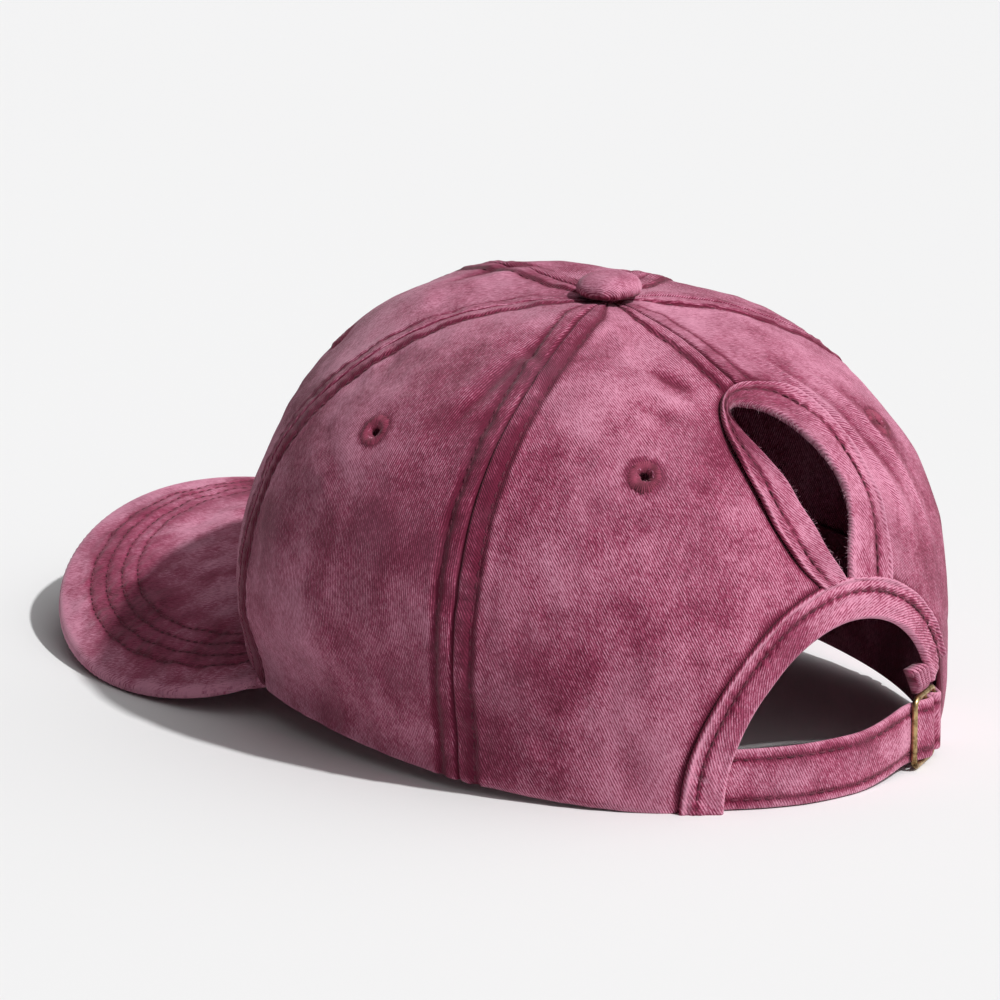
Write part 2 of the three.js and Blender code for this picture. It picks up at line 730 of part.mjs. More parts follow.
function strap() {
  const plan = strapPlan();
  const ramp = STRAP_LOW - FLOOR_CLEARANCE;
  const path = plan.map((point) => {
    const t = THREE.MathUtils.smoothstep(-point.x, 0, -(BUCKLE_SIDE + BUCKLE_PITCH));
    const low = FLOOR_CLEARANCE + ramp * t;
    return { x: point.x, y: point.y, low, high: low + STRAP_WIDTH };
  });
  return ribbon(path, STRAP_THICKNESS);
}

function strapTab() {
  const straight = Math.PI / 2;
  const plan = [
    beltPoint(TAB_END, TAB_DEPTH),
    beltPoint(TAB_START, TAB_DEPTH),
    ...aroundBar(BUCKLE_PITCH, TAB_BEND, TAB_BEND_START, 3 * straight, 8),
    beltPoint(TAB_START, TAB_INNER_DEPTH),
    beltPoint(TAB_END, TAB_INNER_DEPTH),
  ];
  const path = plan.map(({ x, y }) => ({ x, y, low: STRAP_LOW, high: STRAP_LOW + STRAP_WIDTH }));
  return ribbon(path, TAB_THICKNESS);
}

function roundedRectangle(path, left, low, right, high, corner) {
  path.moveTo(left + corner, low);
  path.lineTo(right - corner, low);
  path.quadraticCurveTo(right, low, right, low + corner);
  path.lineTo(right, high - corner);
  path.quadraticCurveTo(right, high, right - corner, high);
  path.lineTo(left + corner, high);
  path.quadraticCurveTo(left, high, left, high - corner);
  path.lineTo(left, low + corner);
  path.quadraticCurveTo(left, low, left + corner, low);
  return path;
}

function buckle() {
  const half = BUCKLE_WIRE / 2;
  const bevel = BUCKLE_WIRE / 4;
  const reach = BUCKLE_PITCH + half - bevel;
  const outline = roundedRectangle(
    new THREE.Shape(), -reach, BUCKLE_LOW + bevel, reach, BUCKLE_TOP - bevel, BUCKLE_CORNER,
  );
  for (const way of [-1, 1]) {
    const ends = [way * (half - bevel), way * (BUCKLE_PITCH - half + bevel)];
    outline.holes.push(roundedRectangle(
      new THREE.Path(),
      Math.min(...ends),
      BUCKLE_LOW + BUCKLE_WIRE - bevel,
      Math.max(...ends),
      BUCKLE_TOP - BUCKLE_WIRE + bevel,
      bevel,
    ));
  }
  const geometry = new THREE.ExtrudeGeometry(outline, {
    depth: BUCKLE_WIRE - 2 * bevel,
    bevelThickness: bevel,
    bevelSize: bevel,
    bevelSegments: 1,
    curveSegments: 3,
  });
  geometry.translate(0, 0, -half + bevel);
  geometry.applyMatrix4(new THREE.Matrix4().makeBasis(
    new THREE.Vector3(buckleRight.x, buckleRight.y, 0),
    new THREE.Vector3(0, 0, 1),
    new THREE.Vector3(buckleOut.x, buckleOut.y, 0),
  ));
  geometry.translate(buckleCentre.x, buckleCentre.y, 0);
  return geometry;
}

// The tab's cloth is bunched into upright ridges above the slide.
function tabGather() {
  const steps = GATHER_RIDGES * 5;
  const low = BUCKLE_TOP + GAP;
  return shell(GATHER_ROWS.map(({ up, ridge }) => Array.from({ length: steps + 1 }, (_, i) => {
    const t = i / steps;
    const level = low + up * GATHER_HEIGHT;
    const end = CURVED_GAP - ARCH_HALF_WIDTH * Math.sqrt(1 - (level / ARCH_HEIGHT) ** ARCH_POWER);
    const side = end + GATHER_WIDTH * (1 - t);
    const wave = Math.abs(Math.sin(Math.PI * GATHER_RIDGES * t));
    const outer = beltPoint(side, BUCKLE_DEPTH - ridge * wave * TAB_THICKNESS);
    const inner = beltPoint(side, BUCKLE_DEPTH + 2 * TAB_THICKNESS);
    return {
      outer: new THREE.Vector3(outer.x, outer.y, level),
      inner: new THREE.Vector3(inner.x, inner.y, level),
    };
  })));
}

// Assembly

const cap = new THREE.Group();

function addPiece(name, geometry, material) {
  const mesh = new THREE.Mesh(geometry, material);
  mesh.name = name;
  cap.add(mesh);
}

const third = Math.PI / 3;
const panels = [
  { name: 'panel_front_left', geometry: seamedPanel(0, third), middle: third / 2 },
  { name: 'panel_side_left', geometry: seamedPanel(third, 2 * third), middle: 1.5 * third },
  { name: 'panel_back_left', geometry: backPanel(1), middle: 2.5 * third },
  { name: 'panel_back_right', geometry: backPanel(-1), middle: -2.5 * third },
  { name: 'panel_side_right', geometry: seamedPanel(-2 * third, -third), middle: -1.5 * third },
  { name: 'panel_front_right', geometry: seamedPanel(-third, 0), middle: -third / 2 },
];
panels.forEach(({ name, geometry, middle }, i) => {
  addPiece(name, pierced(geometry, middle), cloth);
  addPiece(`eyelet_${i + 1}`, eyelet(middle), thread);
});
addPiece('button', button(), cloth);
addPiece('peak', peak(), cloth);
addPiece('sweatband', sweatband(), cloth);
addPiece('arch_binding', archBinding(), edgeCloth);
addPiece('slot_binding', slotBinding(), edgeCloth);
addPiece('strap', strap(), edgeCloth);
addPiece('buckle', buckle(), brass);
addPiece('strap_tab', strapTab(), edgeCloth);
addPiece('tab_gather', tabGather(), edgeCloth);

// The hub is the origin up to here; the cap's own origin is the middle of its footprint.
const box = new THREE.Box3().setFromObject(cap);
const middle = box.getCenter(new THREE.Vector3());
cap.position.set(-middle.x, -middle.y, -box.min.z);

export default cap;
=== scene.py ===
"""Ponytail baseball cap of washed cotton twill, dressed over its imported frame.

Sizes are in millimetres and meshes are made in metres. The form's own frame has its origin on the
floor below the crown's hub: the front faces -Y, the wearer's left is +X, and angles run from the
front over the wearer's left. "Side" is the distance to the left of the back's centre line, "up" the
distance along the surface from the rim, and "share" the same as a share of the way to the top.
"""
import logging
import math
from collections.abc import Callable
from dataclasses import dataclass, field
from enum import Enum

import bpy
import numpy as np
from mathutils import Matrix, Vector


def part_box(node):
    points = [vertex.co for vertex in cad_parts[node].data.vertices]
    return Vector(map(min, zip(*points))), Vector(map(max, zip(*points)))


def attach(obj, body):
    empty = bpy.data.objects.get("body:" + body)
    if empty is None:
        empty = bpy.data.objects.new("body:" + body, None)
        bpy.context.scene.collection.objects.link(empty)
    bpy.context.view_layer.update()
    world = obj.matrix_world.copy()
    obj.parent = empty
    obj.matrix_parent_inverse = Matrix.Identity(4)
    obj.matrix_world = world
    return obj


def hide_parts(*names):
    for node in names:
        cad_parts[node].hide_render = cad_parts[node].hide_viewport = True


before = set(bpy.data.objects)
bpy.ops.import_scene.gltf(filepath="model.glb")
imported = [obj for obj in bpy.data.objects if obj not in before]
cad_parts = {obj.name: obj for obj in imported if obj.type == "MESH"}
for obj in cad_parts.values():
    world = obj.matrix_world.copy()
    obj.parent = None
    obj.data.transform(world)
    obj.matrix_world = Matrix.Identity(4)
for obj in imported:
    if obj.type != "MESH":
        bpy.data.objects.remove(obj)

Array = np.ndarray
Colour = tuple[float, float, float]
Paths = list[tuple[Array, Array]]
Piece = bpy.types.Object
Finish = bpy.types.Material
Socket = bpy.types.NodeSocket

MM = 0.001
UV_SCALE = 0.01
FULL_TURN = 2 * math.pi
QUARTER = math.pi / 2
PANEL_ANGLE = math.pi / 3
log = logging.getLogger("cap")


# Numbers and curves


def smooth(values: Array, low: float, high: float) -> Array:
    """Rises smoothly from 0 at low to 1 at high."""
    t = np.clip((values - low) / (high - low), 0, 1)
    return t * t * (3 - 2 * t)


def hump(values: Array, centre: float, width: float) -> Array:
    """A bell curve of height 1 about a centre."""
    return np.exp(-(((values - centre) / width) ** 2))


def rounding(away: Array, radius: float) -> Array:
    """The share of a wall's full thickness at a distance from its rounded edge."""
    t = np.clip(away / radius, 0, 1)
    return np.maximum(np.sqrt(1 - (1 - t) ** 2), 0.04)


def unit(vectors: Array) -> Array:
    """Vectors scaled to a length of one."""
    return vectors / np.maximum(np.linalg.norm(vectors, axis=-1, keepdims=True), 1e-9)


def away_from(points: Array, line: Array) -> Array:
    """The distance from each point to the nearest point of a finely stepped line."""
    return along_line(points, line)[0]


def along_line(points: Array, line: Array) -> tuple[Array, Array]:
    """How near each point is to a line, and where along it from 0 to 1 that is."""
    flat = points.reshape(-1, points.shape[-1])
    nearest, place = np.full(len(flat), np.inf), np.zeros(len(flat))
    for number, step in enumerate(line):
        gap = ((flat - step) ** 2).sum(-1)
        closer = gap < nearest
        nearest[closer] = gap[closer]
        place[closer] = number / (len(line) - 1)
    return np.sqrt(nearest).reshape(points.shape[:-1]), place.reshape(points.shape[:-1])


def stepped(line: Array, step: float) -> Array:
    """The same line with points about one step apart."""
    lengths = np.concatenate([[0], np.cumsum(np.linalg.norm(np.diff(line, axis=0), axis=1))])
    count = max(int(lengths[-1] / step), 2)
    targets = np.linspace(0, lengths[-1], count + 1)
    return np.stack([np.interp(targets, lengths, line[:, i]) for i in range(line.shape[1])], -1)


def eased(line: Array, passes: int) -> Array:
    """The same line with its corners rounded and its ends kept."""
    for _ in range(passes):
        line = np.concatenate([line[:1], (line[:-2] + 2 * line[1:-1] + line[2:]) / 4, line[-1:]])
    return line


def through(points: Array, per_segment: int) -> Array:
    """A centripetal Catmull-Rom curve through points.

    Args:
        points: the points, one in each row.
        per_segment: the number of steps from one point to the next.

    Returns:
        The curve's points, one in each row.
    """
    first = 2 * points[0] - points[1]
    last = 2 * points[-1] - points[-2]
    spread = np.concatenate([[first], points, [last]])
    result = []
    for i in range(len(points) - 1):
        p = spread[i:i + 4]
        gaps = np.maximum(np.linalg.norm(np.diff(p, axis=0), axis=1) ** 0.5, 1e-4)
        start = (p[1] - p[0]) / gaps[0] - (p[2] - p[0]) / (gaps[0] + gaps[1]) + (p[2] - p[1]) / gaps[1]
        end = (p[2] - p[1]) / gaps[1] - (p[3] - p[1]) / (gaps[1] + gaps[2]) + (p[3] - p[2]) / gaps[2]
        start, end = start * gaps[1], end * gaps[1]
        for t in np.arange(per_segment) / per_segment:
            square, cube = t * t, t ** 3
            result.append(
                (2 * cube - 3 * square + 1) * p[1] + (cube - 2 * square + t) * start
                + (3 * square - 2 * cube) * p[2] + (cube - square) * end
            )
    result.append(points[-1])
    return np.array(result)


@dataclass(frozen=True)
class Wobble:
    """Smooth, seeded waviness of points in one, two or three dimensions."""

    seed: int
    wavelength: float
    waves: int = 14

    def at(self, *coordinates: Array) -> Array:
        """The waviness at points, mostly from -1 to 1.

        Args:
            coordinates: one array for each dimension, in millimetres.

        Returns:
            One number for each point.
        """
        random = np.random.default_rng(self.seed)
        total = np.zeros(np.broadcast(*coordinates).shape)
        for _ in range(self.waves):
            way = random.normal(size=len(coordinates))
            way *= random.uniform(0.7, 1.4) * FULL_TURN / self.wavelength / np.linalg.norm(way)
            phase = random.uniform(0, FULL_TURN)
            total = total + np.sin(sum(w * c for w, c in zip(way, coordinates)) + phase)
        return total / math.sqrt(self.waves)


# The cap's form


@dataclass(frozen=True)
class Bend:
    """How the crown bends over one facing: powers of its run and rise, and its tuck at the rim."""

    run: float
    rise: float
    tuck: float


@dataclass
class CapForm:
    """The crown's outer surface and the peak's sheet, which every piece follows."""

    half_width: float = 88.0
    front_reach: float = 88.0
    back_reach: float = 114.0
    height: float = 114.0
    setback: float = 16.0
    plan_power: float = 2.08
    bulge: float = 1.2
    cloth: float = 1.4
    apex_hole: float = 3.0
    rest_angle: float = math.radians(150)
    rest_power: float = 0.8
    tuck_climb: float = math.radians(14)
    tuck_power: float = 3.0
    peak_length: float = 80.0
    peak_length_power: float = 1.23
    peak_corner: float = math.radians(64.5)
    peak_flare: float = 44.0
    peak_flare_power: float = 0.8
    peak_radius: float = 148.0
    peak_tilt: float = math.radians(2.1)
    corner_depth: float = 5.0
    front: Bend = Bend(0.38, 0.98, -0.04)
    side: Bend = Bend(0.87, 0.6, 0.1)
    back: Bend = Bend(1.49, 0.55, 0.01)
    angles: int = 1440
    shares: int = 400

    def __post_init__(self) -> None:
        """Works out the peak's lift and a table of the crown's surface."""
        turns = np.linspace(-QUARTER, QUARTER, 27)
        self.peak_lift = float(self.peak_drop(self.peak_edge(turns)).max())
        angle = np.linspace(0, FULL_TURN, self.angles + 1)
        run, rise, tuck = (self.mixed(angle, key)[:, None] for key in ("run", "rise", "tuck"))
        reach = self.plan_reach(angle)[:, None]
        lift = self.rim_height(angle)[:, None]
        bulge = self.bulge * np.sin(3 * angle[:, None]) ** 2
        last = np.arccos((self.apex_hole / reach) ** (1 / run))
        climb = last * (1 - (1 - np.linspace(0, 1, 161)[None, :]) ** 2.3)
        tucked = 1 - tuck * np.maximum(1 - climb / self.tuck_climb, 0) ** self.tuck_power
        radius = reach * np.cos(climb) ** run * tucked + bulge * np.sin(2 * climb)
        points = np.stack([
            radius * np.sin(angle[:, None]),
            self.setback * np.sin(climb) ** 2 - radius * np.cos(angle[:, None]),
            lift + (self.height - lift) * np.sin(climb) ** rise,
            radius,
        ], -1)
        steps = np.linalg.norm(np.diff(points[..., :3], axis=1), axis=-1)
        lengths = np.concatenate([np.zeros((len(angle), 1)), np.cumsum(steps, axis=1)], axis=1)
        self.lengths = lengths[:, -1]
        targets = np.linspace(0, 1, self.shares + 1)
        self.table = np.stack([
            np.stack([np.interp(targets * full[-1], full, row[:, i]) for i in range(4)], -1)
            for full, row in zip(lengths, points)
        ])
        self.back_length = float(self.length(math.pi))

    def mixed(self, angle: Array, key: str) -> Array:
        """One of the bend's numbers at angles, mixed from the three facings."""
        front = np.maximum(np.cos(angle), 0) ** 2 * getattr(self.front, key)
        back = np.maximum(-np.cos(angle), 0) ** 2 * getattr(self.back, key)
        return front + np.sin(angle) ** 2 * getattr(self.side, key) + back

    def plan_reach(self, angle: Array) -> Array:
        """The rim's distance from the hub before its tuck."""
        reach = np.where(np.cos(angle) > 0, self.front_reach, self.back_reach)
        across = np.abs(np.sin(angle) / self.half_width) ** self.plan_power
        along = np.abs(np.cos(angle) / reach) ** self.plan_power
        return (across + along) ** (-1 / self.plan_power)

    def rim_plan(self, angle: Array, grown: float = 0.0) -> Array:
        """Plan points of the rim, grown outward by a margin."""
        reach = self.plan_reach(angle) * (1 - self.mixed(angle, "tuck")) + grown
        return np.stack([reach * np.sin(angle), -reach * np.cos(angle)], -1)

    def peak_edge(self, turn: Array) -> Array:
        """Plan points of the peak's outline, from its right corner at -90 degrees to its left."""
        corner = self.rim_plan(np.array(self.peak_corner))
        swell = np.maximum(np.cos(turn), 0)
        root = corner[1] - self.corner_depth
        x = corner[0] * np.sin(turn) + self.peak_flare * np.sin(turn) * swell ** self.peak_flare_power
        y = root - (self.front_reach + self.peak_length + root) * swell ** self.peak_length_power
        return np.stack([x, y], -1)

    def peak_drop(self, plan: Array) -> Array:
        """How far the peak's sheet drops below its front middle."""
        rise = math.tan(self.peak_tilt) * (plan[..., 1] + self.front_reach)
        return plan[..., 0] ** 2 / (2 * self.peak_radius) - rise

    def peak_underside(self, plan: Array) -> Array:
        """The level of the peak's underside at plan points."""
        return self.peak_lift - self.peak_drop(plan)

    def rim_height(self, angle: Array) -> Array:
        """The level of the crown's rim: on the peak at the front, and down to the floor behind."""
        away = np.abs(np.arctan2(np.sin(angle), np.cos(angle)))
        run = np.clip((away - self.peak_corner) / (self.rest_angle - self.peak_corner), 0, 1)
        corner = self.peak_underside(self.rim_plan(np.array(self.peak_corner)))
        behind = corner * (1 - run ** self.rest_power)
        return np.where(away < self.peak_corner, self.peak_underside(self.rim_plan(away)), behind)

    def length(self, angle: Array) -> Array:
        """The length over the crown from the rim to the top at angles."""
        grid = np.linspace(0, FULL_TURN, self.angles + 1)
        return np.interp(np.mod(angle, FULL_TURN), grid, self.lengths)

    def looked_up(self, angle: Array, share: Array) -> Array:
        """X, Y, Z and the distance from the hub at points of the crown."""
        a = np.mod(angle, FULL_TURN) / FULL_TURN * self.angles
        s = np.clip(share, 0, 1) * self.shares
        i = np.clip(a.astype(int), 0, self.angles - 1)
        j = np.clip(s.astype(int), 0, self.shares - 1)
        ta, ts = (a - i)[..., None], (s - j)[..., None]
        low = self.table[i, j] * (1 - ta) + self.table[i + 1, j] * ta
        high = self.table[i, j + 1] * (1 - ta) + self.table[i + 1, j + 1] * ta
        return low * (1 - ts) + high * ts

    def normal(self, angle: Array, share: Array) -> Array:
        """The crown's outward normal."""
        step = 0.01
        around = self.looked_up(angle + step, share) - self.looked_up(angle - step, share)
        along = self.looked_up(angle, share + step) - self.looked_up(angle, share - step)
        return unit(np.cross(around[..., :3], along[..., :3]))

    def at(self, angle: Array, share: Array, height: Array) -> Array:
        """Points at heights above the crown's surface."""
        angle, share = np.broadcast_arrays(np.asarray(angle, float), np.asarray(share, float))
        lifted = np.asarray(height, float)[..., None] * self.normal(angle, share)
        return self.looked_up(angle, share)[..., :3] + lifted

    def angle_at_side(self, side: Array, share: Array) -> Array:
        """The angle at which the surface lies a given distance beside the back's centre line."""
        side, share = np.broadcast_arrays(np.asarray(side, float), np.asarray(share, float))
        angle = np.full(side.shape, math.pi)
        for _ in range(10):
            radius = self.looked_up(angle, share)[..., 3]
            angle = math.pi - np.arcsin(np.clip(side / radius, -1, 1))
        return angle

    def back_at(self, side: Array, up: Array, height: Array) -> Array:
        """Points of the crown's back by side, up and height."""
        share = np.asarray(up, float) / self.back_length
        return self.at(self.angle_at_side(side, share), share, height)


# Meshes


def world_shift(form: CapForm) -> Array:
    """From the form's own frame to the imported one, in millimetres, by the place of the button."""
    low, high = (np.array(corner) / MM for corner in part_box("button"))
    button_top = form.height + Button.seat + Button.height
    return np.array([
        (low[0] + high[0]) / 2,
        (low[1] + high[1]) / 2 - form.setback,
        high[2] - button_top,
    ])


def linked(name: str, data: bpy.types.ID) -> Piece:
    """A new object in the scene."""
    made = bpy.data.objects.new(name, data)
    bpy.context.scene.collection.objects.link(made)
    return made


@dataclass
class Body:
    """A mesh under construction, with its cloth coordinates and its marks: paler from rubbing and painted
    light, darker from kept dye and painted shade.
    """

    points: Array
    faces: list[Array]
    uv: Array | None = None
    marks: dict[str, Array] = field(default_factory=dict)

    def build(self, name: str, shift: Array) -> Piece:
        """Makes the mesh object.

        Args:
            name: the piece's name.
            shift: from the form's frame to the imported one, in millimetres.

        Returns:
            The object, at the origin, with its place in its mesh.
        """
        used = np.unique(np.concatenate([block.ravel() for block in self.faces]))
        new = np.zeros(len(self.points), int)
        new[used] = np.arange(len(used))
        faces = [face for block in self.faces for face in new[block].tolist()]
        mesh = bpy.data.meshes.new(name)
        mesh.from_pydata(((self.points[used] + shift) * MM).tolist(), [], faces)
        if self.uv is not None:
            loops = np.empty(len(mesh.loops), int)
            mesh.loops.foreach_get("vertex_index", loops)
            layer = mesh.uv_layers.new(name="cloth")
            layer.data.foreach_set("uv", (self.uv[used][loops] * UV_SCALE).astype(float).ravel())
        for mark, values in self.marks.items():
            mesh.attributes.new(mark, "FLOAT", "POINT").data.foreach_set("value", values[used].astype(float))
        mesh.shade_smooth()
        mesh.update()
        return linked(name, mesh)


def sheet_body(
    outer: Array, inner: Array, uv: Array, wear: Array, crease: Array,
    keep: Array | None = None, spread: float = 0.0,
) -> Body:
    """A closed cloth body between two layers over one grid; column way crossed with row way is out.

    Args:
        outer: the outer layer, rows by columns by three.
        inner: the inner layer, the same.
        uv: cloth coordinates in millimetres, rows by columns by two.
        wear: marks where the cloth is paler from rubbing and painted light, rows by columns.
        crease: marks where it is darker from kept dye and painted shade, rows by columns.
        keep: which cells of the grid are cloth; all of them if None.
        spread: the share by which the inner layer's cloth coordinates are wider, which keeps the
            weave from being drawn out into streaks on a wall.

    Returns:
        The body, with a wall wherever the cloth ends.
    """
    rows, columns = outer.shape[:2]
    if keep is None:
        keep = np.ones((rows - 1, columns - 1), bool)
    index = np.arange(rows * columns).reshape(rows, columns)
    below = index + rows * columns
    corners = [(slice(None, -1), slice(None, -1)), (slice(None, -1), slice(1, None)),
               (slice(1, None), slice(1, None)), (slice(1, None), slice(None, -1))]
    a, b, c, d = (index[corner] for corner in corners)
    e, f, g, h = (below[corner] for corner in corners)
    wide = np.pad(keep, 1)
    ends = [
        (keep & ~wide[:-2, 1:-1], (e, f, b, a)),
        (keep & ~wide[2:, 1:-1], (d, c, g, h)),
        (keep & ~wide[1:-1, :-2], (a, d, h, e)),
        (keep & ~wide[1:-1, 2:], (f, g, c, b)),
    ]
    faces = [np.stack([a, b, c, d], -1)[keep], np.stack([e, h, g, f], -1)[keep]]
    faces += [np.stack(quad, -1)[where] for where, quad in ends if where.any()]

    def twice(layer: Array) -> Array:
        """One layer's values for both layers."""
        return np.concatenate([layer.reshape(rows * columns, -1)] * 2)

    return Body(
        points=np.concatenate([outer.reshape(-1, 3), inner.reshape(-1, 3)]),
        faces=faces,
        uv=np.concatenate([(uv * wide_by).reshape(-1, 2) for wide_by in (1, 1 + spread)]),
        marks={"wear": twice(wear).ravel(), "crease": twice(crease).ravel()},
    )


def loft_body(rings: Array, closed: bool, uv: Array | None = None) -> Body:
    """A closed body through rings of points, each ring running round with the next one on its left.

    Args:
        rings: rings by points by three.
        closed: whether the last ring joins the first one; otherwise both ends are capped.
        uv: cloth coordinates in millimetres, rings by points by two, or None.

    Returns:
        The body.
    """
    rows, columns = rings.shape[:2]
    index = np.arange(rows * columns).reshape(rows, columns)
    around = np.roll(index, -1, axis=1)
    after, after_around = np.roll(index, -1, axis=0), np.roll(around, -1, axis=0)
    quads = np.stack([index, around, after_around, after], -1)
    points = rings.reshape(-1, 3)
    flat_uv = np.zeros((len(points), 2)) if uv is None else uv.reshape(-1, 2)
    if closed:
        return Body(points, [quads.reshape(-1, 4)], flat_uv)
    centres = np.stack([rings[0].mean(0), rings[-1].mean(0)])
    first, last = len(points), len(points) + 1
    caps = [
        np.stack([np.full(columns, first), around[0], index[0]], -1),
        np.stack([np.full(columns, last), index[-1], around[-1]], -1),
    ]
    ends_uv = np.stack([flat_uv[:columns].mean(0), flat_uv[-columns:].mean(0)])
    return Body(
        np.concatenate([points, centres]),
        [quads[:-1].reshape(-1, 4), *caps],
        np.concatenate([flat_uv, ends_uv]),
    )


def tube_body(line: Array, radius: float, sides: int, closed: bool) -> Body:
    """A round wire or thread along a line.

    Args:
        line: the points that it follows.
        radius: of its round section, in millimetres.
        sides: the number of points round it.
        closed: whether its end joins its start.

    Returns:
        The body.
    """
    if closed:
        ways = unit(np.roll(line, -1, axis=0) - np.roll(line, 1, axis=0))
    else:
        ways = unit(np.gradient(line, axis=0))
    across = unit(np.cross(ways, np.array([0.31, 0.17, 0.94])))
    lift = np.cross(ways, across)
    turns = np.linspace(0, FULL_TURN, sides, endpoint=False)[None, :, None]
    rings = line[:, None] + radius * (across[:, None] * np.cos(turns) + lift[:, None] * np.sin(turns))
    return loft_body(rings, closed)


def joined(bodies: list[Body]) -> Body:
    """Several bodies as one mesh."""
    starts = np.cumsum([0] + [len(body.points) for body in bodies])
    faces = [block + start for body, start in zip(bodies, starts) for block in body.faces]
    return Body(
        np.concatenate([body.points for body in bodies]),
        faces,
        np.concatenate([body.uv for body in bodies]),
    )


# Nodes


class Tree:
    """A node tree, with the one way in which this file adds nodes to it."""

    def __init__(self, tree: bpy.types.NodeTree) -> None:
        """Takes an empty node tree."""
        self.tree = tree
        tree.nodes.clear()

    @staticmethod
    def socket(sockets: bpy.types.bpy_prop_collection, key: str | int) -> Socket:
        """The socket in use with that name or number."""
        if isinstance(key, int):
            return sockets[key]
        return next(item for item in sockets if item.name == key and item.enabled)

    def add(self, kind: str, settings: dict | None = None, feeds: dict | None = None) -> bpy.types.Node:
        """Adds a node.

        Args:
            kind: the node's type.
            settings: its settings, which are set first; "stops" are a ramp's places and colours.
            feeds: a value, a socket or a Value for each of its inputs, by name or number.

        Returns:
            The node.
        """
        node = self.tree.nodes.new(kind)
        for key, value in (settings or {}).items():
            if key == "stops":
                while len(node.color_ramp.elements) < len(value):
                    node.color_ramp.elements.new(1.0)
                for element, (place, colour) in zip(node.color_ramp.elements, value):
                    element.position = place
                    element.color = (*colour, 1.0)
            else:
                setattr(node, key, value)
        for key, value in (feeds or {}).items():
            socket = self.socket(node.inputs, key)
            if isinstance(value, Value):
                value = value.socket
            if isinstance(value, Socket):
                self.tree.links.new(value, socket)
            else:
                socket.default_value = value
        return node

    def value(
        self, kind: str, out: str | int, settings: dict | None = None, feeds: dict | None = None,
    ) -> "Value":
        """Adds a node and gives one of its outputs for use in expressions."""
        return Value(self, self.socket(self.add(kind, settings, feeds).outputs, out))

    def noise(self, at: Socket, scale: float, detail: float = 2.0, rough: float = 0.5) -> "Value":
        """Noise from 0 to 1 over coordinates."""
        feeds = {"Vector": at, "Scale": scale, "Detail": detail, "Roughness": rough}
        return self.value("ShaderNodeTexNoise", 0, {"noise_dimensions": "3D"}, feeds)

    def mixed(self, factor: "Value | float", first: object, second: object) -> Socket:
        """Two colours mixed by a factor."""
        settings = {"data_type": "RGBA", "clamp_factor": True}
        feeds = {"Factor": factor, "A": coloured(first), "B": coloured(second)}
        return self.value("ShaderNodeMix", "Result", settings, feeds).socket

    def stretched(self, at: Socket, by: Colour) -> Socket:
        """Coordinates multiplied along each axis."""
        return self.add("ShaderNodeVectorMath", {"operation": "MULTIPLY"}, {0: at, 1: by}).outputs[0]

    def bump(self, height: "Value", strength: float, depth: float) -> Socket:
        """A normal from a height that is given from 0 to 1, with its depth in millimetres."""
        feeds = {"Strength": strength, "Distance": depth * MM, "Height": height}
        return self.add("ShaderNodeBump", None, feeds).outputs[0]


def coloured(value: object) -> object:
    """A colour of three numbers as a colour socket takes it; anything else as it is."""
    return (*value, 1.0) if isinstance(value, tuple) and len(value) == 3 else value


class Value:
    """A socket that takes part in Python expressions, each of which adds a Math node."""

    def __init__(self, tree: Tree, socket: Socket) -> None:
        """Wraps a socket of a tree."""
        self.tree = tree
        self.socket = socket

    def math(self, operation: str, *others: "Value | float") -> "Value":
        """This value and others through one Math node."""
        feeds = dict(enumerate((self, *others)))
        return self.tree.value("ShaderNodeMath", 0, {"operation": operation}, feeds)

    def __add__(self, other: "Value | float") -> "Value":
        """Sum."""
        return self.math("ADD", other)

    __radd__ = __add__

    def __mul__(self, other: "Value | float") -> "Value":
        """Product."""
        return self.math("MULTIPLY", other)

    __rmul__ = __mul__

    def __sub__(self, other: "Value | float") -> "Value":
        """Difference."""
        return self.math("SUBTRACT", other)

    def __rsub__(self, other: float) -> "Value":
        """Difference from a number."""
        return self * -1.0 + other

    def wave(self) -> "Value":
        """A sine from 0 to 1 with a period of one."""
        return (self * FULL_TURN).math("SINE") * 0.5 + 0.5

    def floor(self) -> "Value":
        """The whole number below."""
        return self.math("FLOOR")

    def between(self, low: float, high: float) -> "Value":
        """Rises smoothly from 0 at low to 1 at high."""
        settings = {"interpolation_type": "SMOOTHSTEP"}
        feeds = {"Value": self, "From Min": low, "From Max": high}
        return self.tree.value("ShaderNodeMapRange", 0, settings, feeds)


# Finishes


class Slot(Enum):
    """The record's material slots."""

    TWILL = "washed_twill"
    PEAK = "peak_cloth"
    FACING = "edge_facing"
    STRAP = "strap_cloth"
    BUTTON = "button_cloth"
    THREAD = "eyelet_thread"
    SWEATBAND = "sweatband_cotton"
    BRASS = "antique_brass"


def blank(name: str) -> tuple[Finish, Tree]:
    """A new material and its empty node tree."""
    material = bpy.data.materials.new(name)
    material.use_nodes = True
    return material, Tree(material.node_tree)


def shaded(tree: Tree, colour: object, roughness: object, normal: object, fixed: dict) -> None:
    """Ends a material's tree in one surface shader.

    Args:
        tree: the material's tree.
        colour: the base colour's socket.
        roughness: a value or a number.
        normal: the bump's socket.
        fixed: numbers that are the same all over, by the shader's own input names.
    """
    feeds = {"Base Color": colour, "Roughness": roughness, "Normal": normal, **fixed}
    shader = tree.add("ShaderNodeBsdfPrincipled", None, feeds)
    tree.add("ShaderNodeOutputMaterial", None, {"Surface": shader.outputs[0]})


